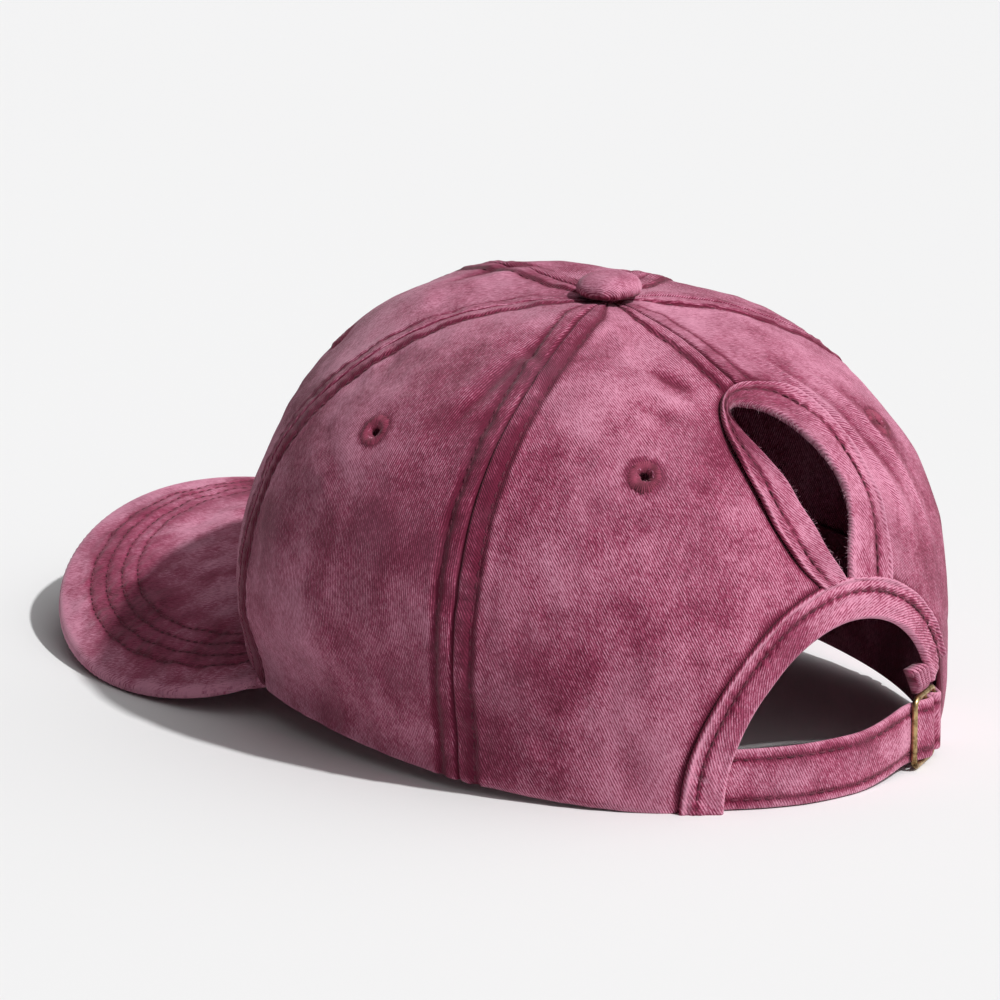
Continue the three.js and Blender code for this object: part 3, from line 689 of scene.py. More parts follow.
@dataclass(frozen=True)
class WashedTwill:
    """Cotton twill, dyed and then washed pale on its high places and edges.

    The weave's pitch is in millimetres and patches, streaks and grime are scales of noise. How far
    the cloth is washed out is the sum of fade and of each other share times its own pattern; each
    piece's marks make it paler with rubbing and painted light and darker with kept dye and painted shade.
    """

    name: str
    deep: Colour = (0.13, 0.006, 0.03)
    dye: Colour = (0.31, 0.045, 0.105)
    faded: Colour = (0.66, 0.27, 0.39)
    grey: Colour = (0.24, 0.09, 0.135)
    pitch: float = 0.62
    lean: float = math.radians(25)
    fade: float = 0.55
    wash: float = 0.8
    weave: float = 0.8
    heather: float = 0.85
    # The next two: how strongly rubbing and painted light pale the cloth, and how strongly kept dye and
    # painted shade darken it.
    rubbed_and_lit: float = 0.6
    kept: float = 1.35
    soiled: float = 0.28
    relief: float = 0.24
    patches: float = 26.0
    streaks: float = 110.0
    grime: float = 41.0

    def material(self) -> Finish:
        """Makes the material over the piece's "cloth" coordinates and its marks of wear."""
        material, tree = blank(self.name)
        cloth = tree.add("ShaderNodeUVMap", {"uv_map": "cloth"}).outputs[0]
        around = tree.add("ShaderNodeTexCoord").outputs["Object"]
        spread = tree.stretched(cloth, (1 / UV_SCALE,) * 3)
        split = tree.add("ShaderNodeSeparateXYZ", None, {0: spread})
        u, v = Value(tree, split.outputs[0]), Value(tree, split.outputs[1])
        # Each piece's marks: paler from wear and painted light, darker from kept dye and painted shade.
        wear = tree.value("ShaderNodeAttribute", "Fac", {"attribute_name": "wear"})
        crease = tree.value("ShaderNodeAttribute", "Fac", {"attribute_name": "crease"})

        sway = tree.noise(spread, 0.06, 1.0)
        across = u * (math.cos(self.lean) / self.pitch) + v * (math.sin(self.lean) / self.pitch) + sway * 1.4
        long_pitch = self.pitch * 1.7
        along = v * (math.cos(self.lean) / long_pitch) - u * (math.sin(self.lean) / long_pitch)
        along = along + across.floor() * 0.37
        weave = across.wave() * (along.wave() * 0.15 + 0.85)
        yarn = tree.add("ShaderNodeCombineXYZ", None, {0: across, 1: along * 0.42}).outputs[0]
        heather = tree.noise(yarn, 1.5, 3.0, 0.75).between(0.28, 0.72)
        patches = tree.noise(around, self.patches, 4.0, 0.58).between(0.28, 0.72)
        tall, taller = (tree.stretched(around, (1.0, 1.0, squash)) for squash in (0.8, 0.55))
        streaks = tree.noise(taller, self.streaks, 3.0, 0.6).between(0.25, 0.75)
        grime = tree.noise(tall, self.grime, 3.0, 0.6).between(0.45, 0.75)

        fade = (
            self.fade
            + (patches - 0.5) * self.wash
            + (streaks - 0.5) * (self.wash * 0.5)
            + (heather - 0.5) * self.heather
            + (weave - 0.5) * self.weave
            + wear * self.rubbed_and_lit
            - crease * self.kept
        )
        dyed = tree.mixed(fade.between(-0.25, 0.5), self.deep, self.dye)
        washed = tree.mixed(fade.between(0.35, 1.15), dyed, self.faded)
        colour = tree.mixed(grime * self.soiled, washed, self.grey)
        height = weave * 0.65 + heather * 0.35
        bump = tree.bump(height, 0.75, self.relief)
        fixed = {"Specular IOR Level": 0.25, "Sheen Weight": 0.12, "Sheen Roughness": 0.5}
        shaded(tree, colour, heather * 0.1 + 0.84, bump, fixed)
        return material


@dataclass(frozen=True)
class SpunThread:
    """Sewing thread or loose fibre, twisted and a little faded."""

    name: str
    deep: Colour
    pale: Colour
    twist: float = 1500.0

    def material(self) -> Finish:
        """Makes the material over the piece's own place."""
        material, tree = blank(self.name)
        around = tree.add("ShaderNodeTexCoord").outputs["Object"]
        mottle = tree.noise(around, 260.0, 3.0, 0.6).between(0.3, 0.7)
        plies = tree.noise(tree.stretched(around, (1.0, 1.0, 2.4)), self.twist, 2.0)
        colour = tree.mixed(mottle * 0.7 + plies * 0.3, self.deep, self.pale)
        shaded(tree, colour, plies * 0.2 + 0.7, tree.bump(plies, 0.6, 0.1), {"Sheen Weight": 0.1})
        return material


@dataclass(frozen=True)
class AntiqueBrass:
    """Brass wire under a brown patina, rubbed bright where it is handled."""

    name: str
    bright: Colour = (0.56, 0.40, 0.19)
    patina: Colour = (0.15, 0.085, 0.035)

    def material(self) -> Finish:
        """Makes the material over the piece's own place."""
        material, tree = blank(self.name)
        around = tree.add("ShaderNodeTexCoord").outputs["Object"]
        stain = tree.noise(around, 420.0, 4.0, 0.65).between(0.35, 0.68)
        scratches = tree.noise(tree.stretched(around, (1.0, 1.0, 0.15)), 2600.0, 2.0)
        colour = tree.mixed(stain, self.bright, self.patina)
        shaded(tree, colour, stain * 0.25 + 0.3, tree.bump(scratches, 0.25, 0.05), {"Metallic": 1.0})
        return material


@dataclass(frozen=True)
class PaleFloor:
    """The studio's seamless pale floor."""

    name: str = "pale_floor"

    def material(self) -> Finish:
        """Makes the material."""
        material, tree = blank(self.name)
        around = tree.add("ShaderNodeTexCoord").outputs["Object"]
        tone = tree.noise(around, 1.2, 2.0)
        colour = tree.mixed(tone, (0.80, 0.80, 0.80), (0.83, 0.83, 0.835))
        shaded(tree, colour, 0.9, tree.bump(tone, 0.02, 0.1), {"Specular IOR Level": 0.1})
        return material


def dressed(piece: Piece, material: Finish, slot: Slot, *nodes: str) -> None:
    """Gives a piece its finish and its place on the cap's one body, and hides the nodes it stands for.

    Args:
        piece: the mesh object.
        material: its finish.
        slot: the record's material slot of that finish; not used.
        nodes: the CAD nodes that the piece replaces.
    """
    if not piece.data.materials:
        piece.data.materials.append(material)
    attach(piece, "root")
    if nodes:
        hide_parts(*nodes)
    log.info("%s: %d faces", piece.name, len(piece.data.polygons))


# Threads and fibres along paths, by Geometry Nodes


class Growth:
    """A Geometry Nodes tree that sets a small thread at even steps along paths."""

    def __init__(self, name: str, pitch: float, length: float, thickness: float, seed: int) -> None:
        """Makes the tree and its named inputs.

        Args:
            name: the tree's name.
            pitch: usual distance from thread to thread, in millimetres.
            length: of a thread, the same.
            thickness: of a thread, the same.
            seed: of its random turns and sizes.
        """
        self.group = bpy.data.node_groups.new(name, "GeometryNodeTree")
        self.nodes = Tree(self.group)
        face = self.group.interface
        face.new_socket("Geometry", in_out="INPUT", socket_type="NodeSocketGeometry")
        face.new_socket("Geometry", in_out="OUTPUT", socket_type="NodeSocketGeometry")
        finish = face.new_socket("Material", in_out="INPUT", socket_type="NodeSocketMaterial")
        self.keys = {"Material": finish}
        for key, size in (("Pitch", pitch), ("Length", length), ("Thickness", thickness)):
            self.keys[key] = face.new_socket(key, in_out="INPUT", socket_type="NodeSocketFloat")
            self.keys[key].default_value = size * MM
        self.keys["Seed"] = face.new_socket("Seed", in_out="INPUT", socket_type="NodeSocketInt")
        self.keys["Seed"].default_value = seed
        self.entry = self.nodes.add("NodeGroupInput")

    def given(self, key: str) -> Value:
        """One of the tree's named inputs."""
        return Value(self.nodes, self.entry.outputs[key])

    def lying(self, towards: str) -> Socket:
        """A turn that sets Z along the path's own named direction and X along the path."""
        add = self.nodes.add
        out = add("GeometryNodeInputNamedAttribute", {"data_type": "FLOAT_VECTOR"}, {"Name": towards})
        way = add("GeometryNodeInputTangent")
        upright = add("FunctionNodeAlignRotationToVector", {"axis": "Z"}, {"Vector": out.outputs[0]})
        feeds = {"Rotation": upright.outputs[0], "Vector": way.outputs[0]}
        return add("FunctionNodeAlignRotationToVector", {"axis": "X", "pivot_axis": "Z"}, feeds).outputs[0]

    def steps(self) -> Socket:
        """Points at the tree's "Pitch" along the given paths."""
        curve = self.nodes.add("GeometryNodeMeshToCurve", None, {"Mesh": self.entry.outputs["Geometry"]})
        feeds = {"Curve": curve.outputs[0], "Length": self.given("Pitch")}
        return self.nodes.add("GeometryNodeResampleCurve", {"mode": "LENGTH"}, feeds).outputs[0]

    def random(self, low: object, high: object, kind: str, offset: int) -> Socket:
        """A random number or vector for each thread, from the tree's "Seed"."""
        feeds = {"Min": low, "Max": high, "Seed": self.given("Seed") + float(offset)}
        return self.nodes.value("FunctionNodeRandomValue", "Value", {"data_type": kind}, feeds).socket

    def bent(self, start: object, middle: object, end: object, steps: int, sides: int) -> Socket:
        """A short bent thread of the tree's "Thickness", as a mesh."""
        add = self.nodes.add
        feeds = {"Resolution": steps, "Start": start, "Middle": middle, "End": end}
        line = add("GeometryNodeCurveQuadraticBezier", None, feeds)
        feeds = {"Resolution": sides, "Radius": self.given("Thickness") * 0.5}
        ring = add("GeometryNodeCurvePrimitiveCircle", {"mode": "RADIUS"}, feeds)
        feeds = {"Curve": line.outputs[0], "Profile Curve": ring.outputs[0], "Fill Caps": True}
        return add("GeometryNodeCurveToMesh", None, feeds).outputs[0]

    def placed(self, x: object, y: object, z: object) -> Socket:
        """Three numbers as one place."""
        return self.nodes.add("ShaderNodeCombineXYZ", None, {0: x, 1: y, 2: z}).outputs[0]

    def ended(self, points: object, thread: object, turn: object, size: object) -> None:
        """Sets the thread on each point, makes it real and gives it the material.

        Args:
            points: where the threads stand.
            thread: the mesh of one thread.
            turn: how each thread is turned.
            size: how each thread is scaled.
        """
        add = self.nodes.add
        feeds = {"Points": points, "Instance": thread, "Rotation": turn, "Scale": size}
        threads = add("GeometryNodeInstanceOnPoints", None, feeds)
        real = add("GeometryNodeRealizeInstances", None, {0: threads.outputs[0]})
        even = add("GeometryNodeSetShadeSmooth", None, {0: real.outputs[0]})
        feeds = {0: even.outputs[0], "Material": self.entry.outputs["Material"]}
        done = add("GeometryNodeSetMaterial", None, feeds)
        add("NodeGroupOutput", None, {0: done.outputs[0]})

    def grown(self, start: Piece, material: Finish, **given: float) -> Piece:
        """Runs the tree on an object and keeps the result as a plain mesh.

        Args:
            start: the object whose mesh holds the paths.
            material: the threads' finish.
            given: any of the tree's other inputs, by name.

        Returns:
            The same object, with the threads as its mesh and no modifier.
        """
        modifier = start.modifiers.new("growth", "NODES")
        modifier.node_group = self.group
        modifier[self.keys["Material"].identifier] = material
        for key, value in given.items():
            modifier[self.keys[key].identifier] = value
        start.update_tag()
        graph = bpy.context.evaluated_depsgraph_get()
        mesh = bpy.data.meshes.new_from_object(start.evaluated_get(graph))
        start.modifiers.remove(modifier)
        start.data = mesh
        mesh.name = start.name
        return start


def paths_object(name: str, paths: Paths, shift: Array) -> Piece:
    """Open paths as a mesh of edges, each point with the direction "out" of its thread.

    Args:
        name: the object's name.
        paths: for each path its points and their directions.
        shift: from the form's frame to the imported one, in millimetres.

    Returns:
        The object.
    """
    points = np.concatenate([line for line, _ in paths])
    outs = np.concatenate([out for _, out in paths])
    edges, start = [], 0
    for line, _ in paths:
        edges += [(start + i, start + i + 1) for i in range(len(line) - 1)]
        start += len(line)
    mesh = bpy.data.meshes.new(name)
    mesh.from_pydata(((points + shift) * MM).tolist(), edges, [])
    mesh.attributes.new("out", "FLOAT_VECTOR", "POINT").data.foreach_set("vector", outs.astype(float).ravel())
    return linked(name, mesh)


def stitch_growth() -> Growth:
    """Topstitching: threads that dip into the cloth at both ends."""
    tree = Growth("stitches", pitch=2.9, length=2.2, thickness=0.5, seed=4)
    half = tree.given("Length") * 0.5
    dip, rise = tree.given("Thickness") * -0.9, tree.given("Thickness") * 0.9
    ends = [tree.placed(reach, 0.0, dip) for reach in (half * -1.0, half)]
    thread = tree.bent(ends[0], tree.placed(0.0, 0.0, rise), ends[1], 5, 6)
    size = tree.random((0.85, 0.85, 0.8), (1.12, 1.15, 1.2), "FLOAT_VECTOR", 0)
    tree.ended(tree.steps(), thread, tree.lying("out"), size)
    return tree


def fray_growth() -> Growth:
    """Loose fibres that stand out of a worn edge, each turned its own way."""
    tree = Growth("fray", pitch=0.6, length=1.35, thickness=0.09, seed=9)
    reach = tree.given("Length")
    middle, tip = tree.placed(0.0, 0.0, reach * 0.6), tree.placed(reach * 0.35, 0.0, reach)
    thread = tree.bent((0.0, 0.0, 0.0), middle, tip, 4, 3)
    lean = tree.random((-0.9, -0.9, -3.1), (0.9, 0.9, 3.1), "FLOAT_VECTOR", 1)
    turn = tree.nodes.add("FunctionNodeEulerToRotation", None, {0: lean}).outputs[0]
    feeds = {"Rotation": tree.lying("out"), "Rotate By": turn}
    turned = tree.nodes.add("FunctionNodeRotateRotation", {"rotation_space": "LOCAL"}, feeds).outputs[0]
    size = tree.random((0.35, 0.35, 0.2), (1.0, 1.0, 1.2), "FLOAT_VECTOR", 2)
    tree.ended(tree.steps(), thread, turned, size)
    return tree


def satin_growth() -> Growth:
    """Close satin stitches laid across a ring."""
    tree = Growth("satin", pitch=0.45, length=3.5, thickness=0.62, seed=2)
    half = tree.given("Length") * 0.5
    dip, rise = tree.given("Length") * -0.28, tree.given("Length") * 0.34
    ends = [tree.placed(0.0, reach, dip) for reach in (half * -1.0, half)]
    thread = tree.bent(ends[0], tree.placed(0.0, 0.0, rise), ends[1], 6, 6)
    size = tree.random((0.8, 0.86, 0.8), (1.2, 1.16, 1.3), "FLOAT_VECTOR", 3)
    tree.ended(tree.steps(), thread, tree.lying("out"), size)
    return tree


# Sub-assemblies


@dataclass(frozen=True)
class Seam:
    """A felled seam: a groove between two raised bands, each sewn down by a row of stitches.

    Sizes are in millimetres. From calm_from to calm_to up the seam, its rows get flat and smooth.
    """

    band: float = 6.0
    welt: float = 0.6
    row: float = 4.9
    trough: float = 1.0
    trough_depth: float = 0.62
    brow: float = 0.24
    pucker: float = 0.22
    wave: float = 0.3
    bead: float = 3.9
    calm_from: float = 96.0
    calm_to: float = 138.0
    dyed_to: float = 8.5

    def beads(self, away: Array, along: Array, seed: int) -> Array:
        """The puckers that the stitches draw along a row, from -1 to 1."""
        return np.sin(FULL_TURN * (along + 0.3 * away) / self.bead + 1.7 * Wobble(seed, 17.0).at(along))

    def loose(self, along: Array) -> Array:
        """How far a row is sunk and puckered: fully low on the crown, and little near the top."""
        return 1 - 0.75 * smooth(along, self.calm_from, self.calm_to)

    def relief(self, away: Array, along: Array, seed: int) -> Array:
        """Height over the crown's surface near a seam.

        Args:
            away: distances from the seam, in millimetres.
            along: distances up the seam, in millimetres.
            seed: of its puckers.

        Returns:
            Heights in millimetres.
        """
        loose, beads = self.loose(along), self.beads(away, along, seed)
        broad = Wobble(seed + 1, 12.0).at(along + 0.3 * away)
        welt = self.welt * smooth(away, 0.1, 1.0) * (1 - smooth(away, self.row - 0.8, self.row + 0.8))
        trough = -self.trough_depth * hump(away, self.row, self.trough * (0.4 + 0.6 * loose))
        trough = trough * (1 + 0.3 * beads * loose)
        brow = self.brow * hump(away, self.row + 2.4, 1.3) * loose
        puckers = self.pucker * beads * loose * hump(away, self.row - 0.3, 2.6)
        waves = self.wave * broad * np.exp(-away / 6.5) * smooth(away, 0.5, 3.5)
        return welt + trough + brow + puckers + waves

    def crease(self, away: Array, along: Array, seed: int) -> Array:
        """Where the cloth is darker: kept dye and painted shade in the sunken row and in the seam itself, and
        kept dye a little round both.
        """
        loose, beads = self.loose(along), self.beads(away, along, seed)
        patch = 0.85 + 0.25 * Wobble(seed + 2, 26.0).at(along)
        rows = hump(away, self.row, 0.5 + 1.0 * loose) * (0.85 + 0.3 * beads * loose) * patch
        margin = 0.3 * (1 - smooth(away, self.dyed_to - 4, self.dyed_to))
        return rows + 0.9 * hump(away, 0, 0.4) + margin

    def wear(self, away: Array, along: Array, seed: int) -> Array:
        """Where the cloth is rubbed pale: beside the seam and on both sides of the row."""
        patch = 0.6 + 0.5 * Wobble(seed + 3, 15.0).at(along)
        ridges = 0.4 * hump(away, 1.1, 0.5) + 0.35 * hump(away, self.row - 2.1, 0.6)
        return (ridges + 0.45 * hump(away, self.row + 2.3, 0.8) * self.loose(along)) * patch


@dataclass(frozen=True)
class Fold:
    """A soft valley or ridge of the crown between two places, each an angle in degrees and a share. A
    positive dye darkens it with kept dye and painted shade, a negative one makes it paler with rubbing and
    painted highlight.
    """

    start: tuple[float, float]
    end: tuple[float, float]
    height: float
    width: float = 2.0
    dye: float = 0.0

    def marks(self, form: CapForm, points: Array) -> Array:
        """How strongly the fold is felt at points, from 0 to 1."""
        t = np.linspace(0, 1, 40)
        angle = np.radians(self.start[0] + (self.end[0] - self.start[0]) * t)
        share = self.start[1] + (self.end[1] - self.start[1]) * t
        away, place = along_line(points, form.looked_up(angle, share)[:, :3])
        return hump(away, 0, self.width) * np.sin(math.pi * np.clip(place, 0.02, 0.98)) ** 0.6


class PanelKind(Enum):
    """The panels of the crown by where their two seams stand, in steps of 60 degrees."""

    FRONT_LEFT = (0, 1)
    SIDE_LEFT = (1, 2)
    BACK_LEFT = (2, 3)
    BACK_RIGHT = (3, 4)
    SIDE_RIGHT = (4, 5)
    FRONT_RIGHT = (5, 6)

    @property
    def node(self) -> str:
        """The panel's node in the frame."""
        return f"panel_{self.name.lower()}"

    @property
    def at_back(self) -> bool:
        """Whether the panel ends at the arch and the slot."""
        return self in (PanelKind.BACK_LEFT, PanelKind.BACK_RIGHT)


@dataclass(frozen=True)
class Openings:
    """The arch at the rim and the slot above it, both with faced edges."""

    form: CapForm
    arch_half: float = 36.5
    arch_height: float = 46.5
    foot_band: float = 8.5
    top_band: float = 10.5
    power: float = 2.1
    right_foot: float = 22.5
    slot_length: float = 61.5
    slot_half: float = 21.0
    gap: float = 0.3
    # From foot to top: lip up, left and right, then edge up, left and right, as shares.
    rows: tuple[tuple[float, ...], ...] = (
        (0, 0.4, 0.7, 0, 0.02, 0.02),
        (0.1, 0.63, 0.84, 0.13, 0.17, 0.16),
        (0.28, 0.79, 0.95, 0.3, 0.3, 0.4),
        (0.52, 0.79, 0.98, 0.48, 0.36, 0.47),
        (0.77, 0.68, 0.88, 0.69, 0.48, 0.33),
        (0.94, 0.38, 0.58, 0.84, 0.5, 0.07),
        (1, 0, 0, 0.9, 0.28, -0.28),
    )

    def arch(self, turn: Array, margin: float) -> Array:
        """Side and up of the arch's lip, grown by a margin; turn is 0 at the left foot."""
        side = (self.arch_half + self.foot_band + margin) * np.cos(turn)
        tall = self.arch_height + self.top_band + margin
        return np.stack([side, tall * np.maximum(np.sin(turn), 0) ** (2 / self.power)], -1)

    def arch_edge(self, turn: Array) -> Array:
        """Side and up of the arch's own opening."""
        tall = self.arch_height * np.maximum(np.sin(turn), 0) ** (2 / self.power)
        return np.stack([self.arch_half * np.cos(turn), tall], -1)

    def arch_turn(self, side: float, margin: float) -> float:
        """The turn at which the arch's lip has that side."""
        return math.acos(side / (self.arch_half + self.foot_band + margin))

    def slot(self, line: str, per_segment: int) -> Array:
        """Side and up of the slot's "lip" or "edge", from its left foot over its top to its right."""
        first = 0 if line == "lip" else 3
        foot = self.arch_height + self.top_band

        def corner(row: tuple[float, ...], way: int) -> list[float]:
            """One row's point on one side."""
            side = way * row[first + (1 if way > 0 else 2)] * self.slot_half
            if row[first] > 0:
                return [side, foot + row[first] * self.slot_length]
            return [side, float(self.arch(np.array(self.arch_turn(abs(side), 0)), 0)[1])]

        left = [corner(row, 1) for row in self.rows]
        right = [corner(row, -1) for row in self.rows[:-1]][::-1]
        return through(np.array(left + right), per_segment)

    def slot_lines(self, per_segment: int) -> tuple[Array, Array]:
        """Side and up along the slot's lip and along its opening."""
        return self.slot("lip", per_segment), self.slot("edge", per_segment)


@dataclass
class Panels:
    """The crown's six panels, sewn together by felled seams.

    A lean is how far a panel's cloth was turned when it was cut. A seam's bands get narrower where
    they would take up more than band_share of a panel.
    """

    form: CapForm
    openings: Openings
    shift: Array
    seam: Seam = Seam()
    column_step: float = 1.05
    rows: int = 180
    least_rise: float = 0.06
    eyelet_drop: float = 77.0
    eyelet_cut: float = 2.3
    eyelet_shade: float = 4.4
    band_share: float = 0.3
    lean: dict[PanelKind, float] = field(default_factory=lambda: {
        PanelKind.SIDE_LEFT: math.radians(16), PanelKind.FRONT_RIGHT: math.radians(16),
    })
    creases: tuple[Fold, ...] = (
        Fold((112, 0.82), (108, 0.57), -0.75, 1.7, 0.4),
        Fold((105, 0.78), (103, 0.60), 0.55, 2.8, -0.25),
        Fold((123, 0.735), (108, 0.78), -0.6, 1.5, 0.45),
        Fold((124, 0.71), (110, 0.75), 0.5, 1.7, -0.35),
        Fold((118, 0.61), (112, 0.59), -0.4, 2.6, 0.5),
        Fold((140, 0.91), (131, 0.79), 0.5, 2.0, -0.4),
        Fold((141, 0.91), (151, 0.80), 0.45, 1.9, -0.35),
        Fold((155, 0.77), (166, 0.71), -0.8, 1.9, 0.6),
        Fold((152, 0.72), (164, 0.665), 0.6, 2.0, -0.4),
        Fold((148, 0.68), (160, 0.635), -0.4, 1.8, 0.2),
        Fold((26, 0.72), (-12, 0.80), -0.9, 2.2, 0.5),
        Fold((28, 0.77), (-4, 0.84), 0.7, 2.4, -0.3),
        Fold((197, 0.78), (198, 0.36), 1.1, 1.2, -0.6),
        Fold((200, 0.74), (201, 0.36), -0.6, 1.5, 0.35),
        Fold((205, 0.70), (204, 0.34), 1.0, 1.2, -0.5),
        Fold((209, 0.64), (208, 0.36), -0.4, 1.6, 0.2),
        Fold((74, 0.5), (92, 0.42), -0.5, 3.5, 0.2),
        Fold((128, 0.34), (116, 0.3), -0.5, 3.0, 0.25),
    )

    def squeeze(self, width: Array) -> Array:
        """How much narrower a seam's bands are where a panel has that width."""
        return np.minimum(1, self.band_share * width / self.seam.band)

    @staticmethod
    def seed(number: int, way: int) -> int:
        """The seed of a seam's puckers on one side."""
        return 100 + 10 * (number % 6) + 5 * (way > 0)

    def folds(self, points: Array) -> Array:
        """Soft unevenness of the washed cloth, the same on both sides of a seam."""
        x, y, z = points[..., 0], points[..., 1], points[..., 2]
        calm = smooth(z, -2, 14)
        broad = 0.6 * Wobble(21, 58.0).at(x, y, z) + 0.3 * Wobble(22, 24.0).at(x, y, z)
        named = sum(fold.height * fold.marks(self.form, points) for fold in self.creases)
        return calm * broad + 0.09 * Wobble(23, 9.0).at(x, y, z) + named

    def height(self, angle: Array, share: Array) -> Array:
        """Height of the dressed crown over its plain surface."""
        spot = self.form.looked_up(angle, share)
        nearest = np.round(angle / PANEL_ANGLE)
        squeeze = self.squeeze(spot[..., 3] * PANEL_ANGLE)
        away = np.abs(angle - nearest * PANEL_ANGLE) * spot[..., 3] / squeeze
        up = share * self.form.back_length
        relief = np.zeros(np.shape(away))
        for number in range(-1, 8):
            here = nearest == number
            side = np.sign(angle - nearest * PANEL_ANGLE)
            for way in (-1, 1):
                chosen = here & (side == way)
                if chosen.any():
                    seed = self.seed(number, way)
                    relief[chosen] = self.seam.relief(away[chosen], up[chosen], seed)
        flat = 1 - 0.6 * smooth(share, 0.93, 1.0)
        return relief * flat + self.folds(spot[..., :3])

    def ends(self, kind: PanelKind) -> Array:
        """Side and up where a back panel ends, from the rim to the top, beside both openings."""
        way = 1 if kind is PanelKind.BACK_LEFT else -1
        op = self.openings
        lip = op.slot("lip", 14)
        middle = (len(lip) - 1) // 2
        lip = lip[:middle + 1] if way > 0 else lip[middle:][::-1]
        lip = np.abs(lip)
        turn = op.arch_turn(lip[0][0] + op.gap, op.gap)
        arch = op.arch(np.linspace(0, turn, 66), op.gap)
        lip[-1, 0] = 0.02
        top = np.linspace(lip[-1, 1], self.form.back_length, 26)[1:]
        seam = np.stack([np.full(len(top), 0.0), top], -1)
        rows = np.concatenate([arch, lip[2:] + [op.gap, 0], seam])
        kept = [rows[0]]
        for row in rows[1:]:
            if row[1] > kept[-1][1] + self.least_rise:
                kept.append(row)
        return np.array(kept)

    def grid(self, kind: PanelKind) -> tuple[Array, Array, Array, Array]:
        """A panel's grid.

        Args:
            kind: which panel.

        Returns:
            Angles, shares, and the distances from its two side ends, rows by columns.
        """
        start, end = (number * PANEL_ANGLE for number in kind.value)
        if kind.at_back:
            ends = self.ends(kind)
            share = np.minimum(ends[:, 1] / self.form.back_length, 1)
            way = 1 if kind is PanelKind.BACK_LEFT else -1
            near = self.form.angle_at_side(way * ends[:, 0], share)
            firsts, lasts = np.full(len(share), start), near
            if way < 0:
                firsts, lasts = near, np.full(len(share), end)
        else:
            hem = np.array([0, 0.15, 0.4, 0.8]) / self.form.length((start + end) / 2)
            share = np.concatenate([hem, np.linspace(0, 1, self.rows)[1:] ** 0.97])
            firsts, lasts = np.full(len(share), start), np.full(len(share), end)
        radius = self.form.looked_up((firsts + lasts) / 2, share)[:, 3]
        width = radius * (lasts - firsts)
        widest = radius[0] * PANEL_ANGLE
        bands = np.concatenate([[0, 0.12, 0.3, 0.55], np.arange(0.9, 8.6, 0.55)])
        squeeze = self.squeeze(width)[:, None]
        count = int((widest - 2 * bands[-1]) / self.column_step)
        left = bands[None, :] * squeeze
        inside = np.linspace(0, 1, count + 2)[1:-1][None, :]
        field_low, field_high = left[:, -1:], width[:, None] - left[:, -1:]
        places = np.concatenate([
            left, field_low + (field_high - field_low) * inside, width[:, None] - left[:, ::-1],
        ], axis=1)
        angle = firsts[:, None] + places / np.maximum(radius[:, None], 1e-6)
        return angle, np.repeat(share[:, None], angle.shape[1], 1), places, width[:, None] - places

    def build(self, cloth: Finish) -> None:
        """Builds and dresses the six panels."""
        form, op = self.form, self.openings
        arch_line = op.arch(np.linspace(0, math.pi, 400), op.gap)
        lips = np.concatenate([arch_line, stepped(op.slot("lip", 14), 0.5)])
        for kind in PanelKind:
            angle, share, from_start, from_end = self.grid(kind)
            start, end = (number * PANEL_ANGLE for number in kind.value)
            spot = form.looked_up(angle, share)
            middle = (start + end) / 2
            squeeze = self.squeeze(spot[..., 3] * PANEL_ANGLE)
            up = share * form.back_length
            lip = np.full(angle.shape, np.inf)
            if kind.at_back:
                plan = np.stack([spot[..., 3] * np.sin(math.pi - angle), up], -1)
                lip = away_from(plan, lips)
            seams = [(np.abs(angle - seam) * spot[..., 3] / squeeze, number, way)
                     for seam, number, way in ((start, kind.value[0], 1), (end, kind.value[1], -1))]
            # Rubbed pale at the hem; painted light makes the upper crown paler and painted shade makes it
            # darker towards the rim.
            wear = 0.55 * hump(up, 0, 0.9) + 0.25 * hump(up, 1.5, 2.5) + 0.42 * smooth(share, 0.5, 0.98)
            crease = 0.12 * (1 - smooth(share, 0.05, 0.5))
            for away, number, way in seams:
                seed = self.seed(number, way)
                wear = wear + self.seam.wear(away, up, seed)
                crease = crease + self.seam.crease(away, up, seed)
            # Painted shadow on the panel along the raised lip of the faced edges.
            crease = crease + 0.8 * hump(lip, 0, 1.3)
            # Painted shade darkens each fold's valley; where its dye is negative, wear and painted highlight
            # pale its ridge.
            for fold in self.creases:
                mark = fold.dye * fold.marks(form, spot[..., :3])
                crease, wear = crease + np.maximum(mark, 0), wear + np.maximum(-mark, 0)
            edge = np.minimum(np.minimum(from_start, from_end), np.minimum(up, lip))
            round_edge = rounding(edge, form.cloth / 2)
            height = self.height(angle, share) - 0.5 * hump(lip, 0, 2.5)
            half = form.cloth / 2
            outer = form.at(angle, share, height - half + half * round_edge)
            inner = form.at(angle, share, np.minimum(height, 0) * 0.5 - half - half * round_edge)
            turned = self.lean.get(kind, 0.0)
            u, v = (angle - middle) * spot[..., 3], share * form.length(middle)
            cos, sin = math.cos(turned), math.sin(turned)
            uv = np.stack([u * cos - v * sin, u * sin + v * cos], -1)
            centre = form.length(middle) - self.eyelet_drop
            reach = np.hypot(u, v - centre)
            # Painted shade on the cloth round the eyelet's raised edge.
            crease = crease + 0.5 * hump(reach, self.eyelet_shade, 1.1)
            cells = (reach[:-1, :-1] + reach[1:, :-1] + reach[1:, 1:] + reach[:-1, 1:]) / 4
            wear, crease = np.clip(wear, 0, 1), np.clip(crease, 0, 1.2)
            body = sheet_body(outer, inner, uv, wear, crease, cells > self.eyelet_cut)
            dressed(body.build(f"cloth_{kind.node}", self.shift), cloth, Slot.TWILL, kind.node)

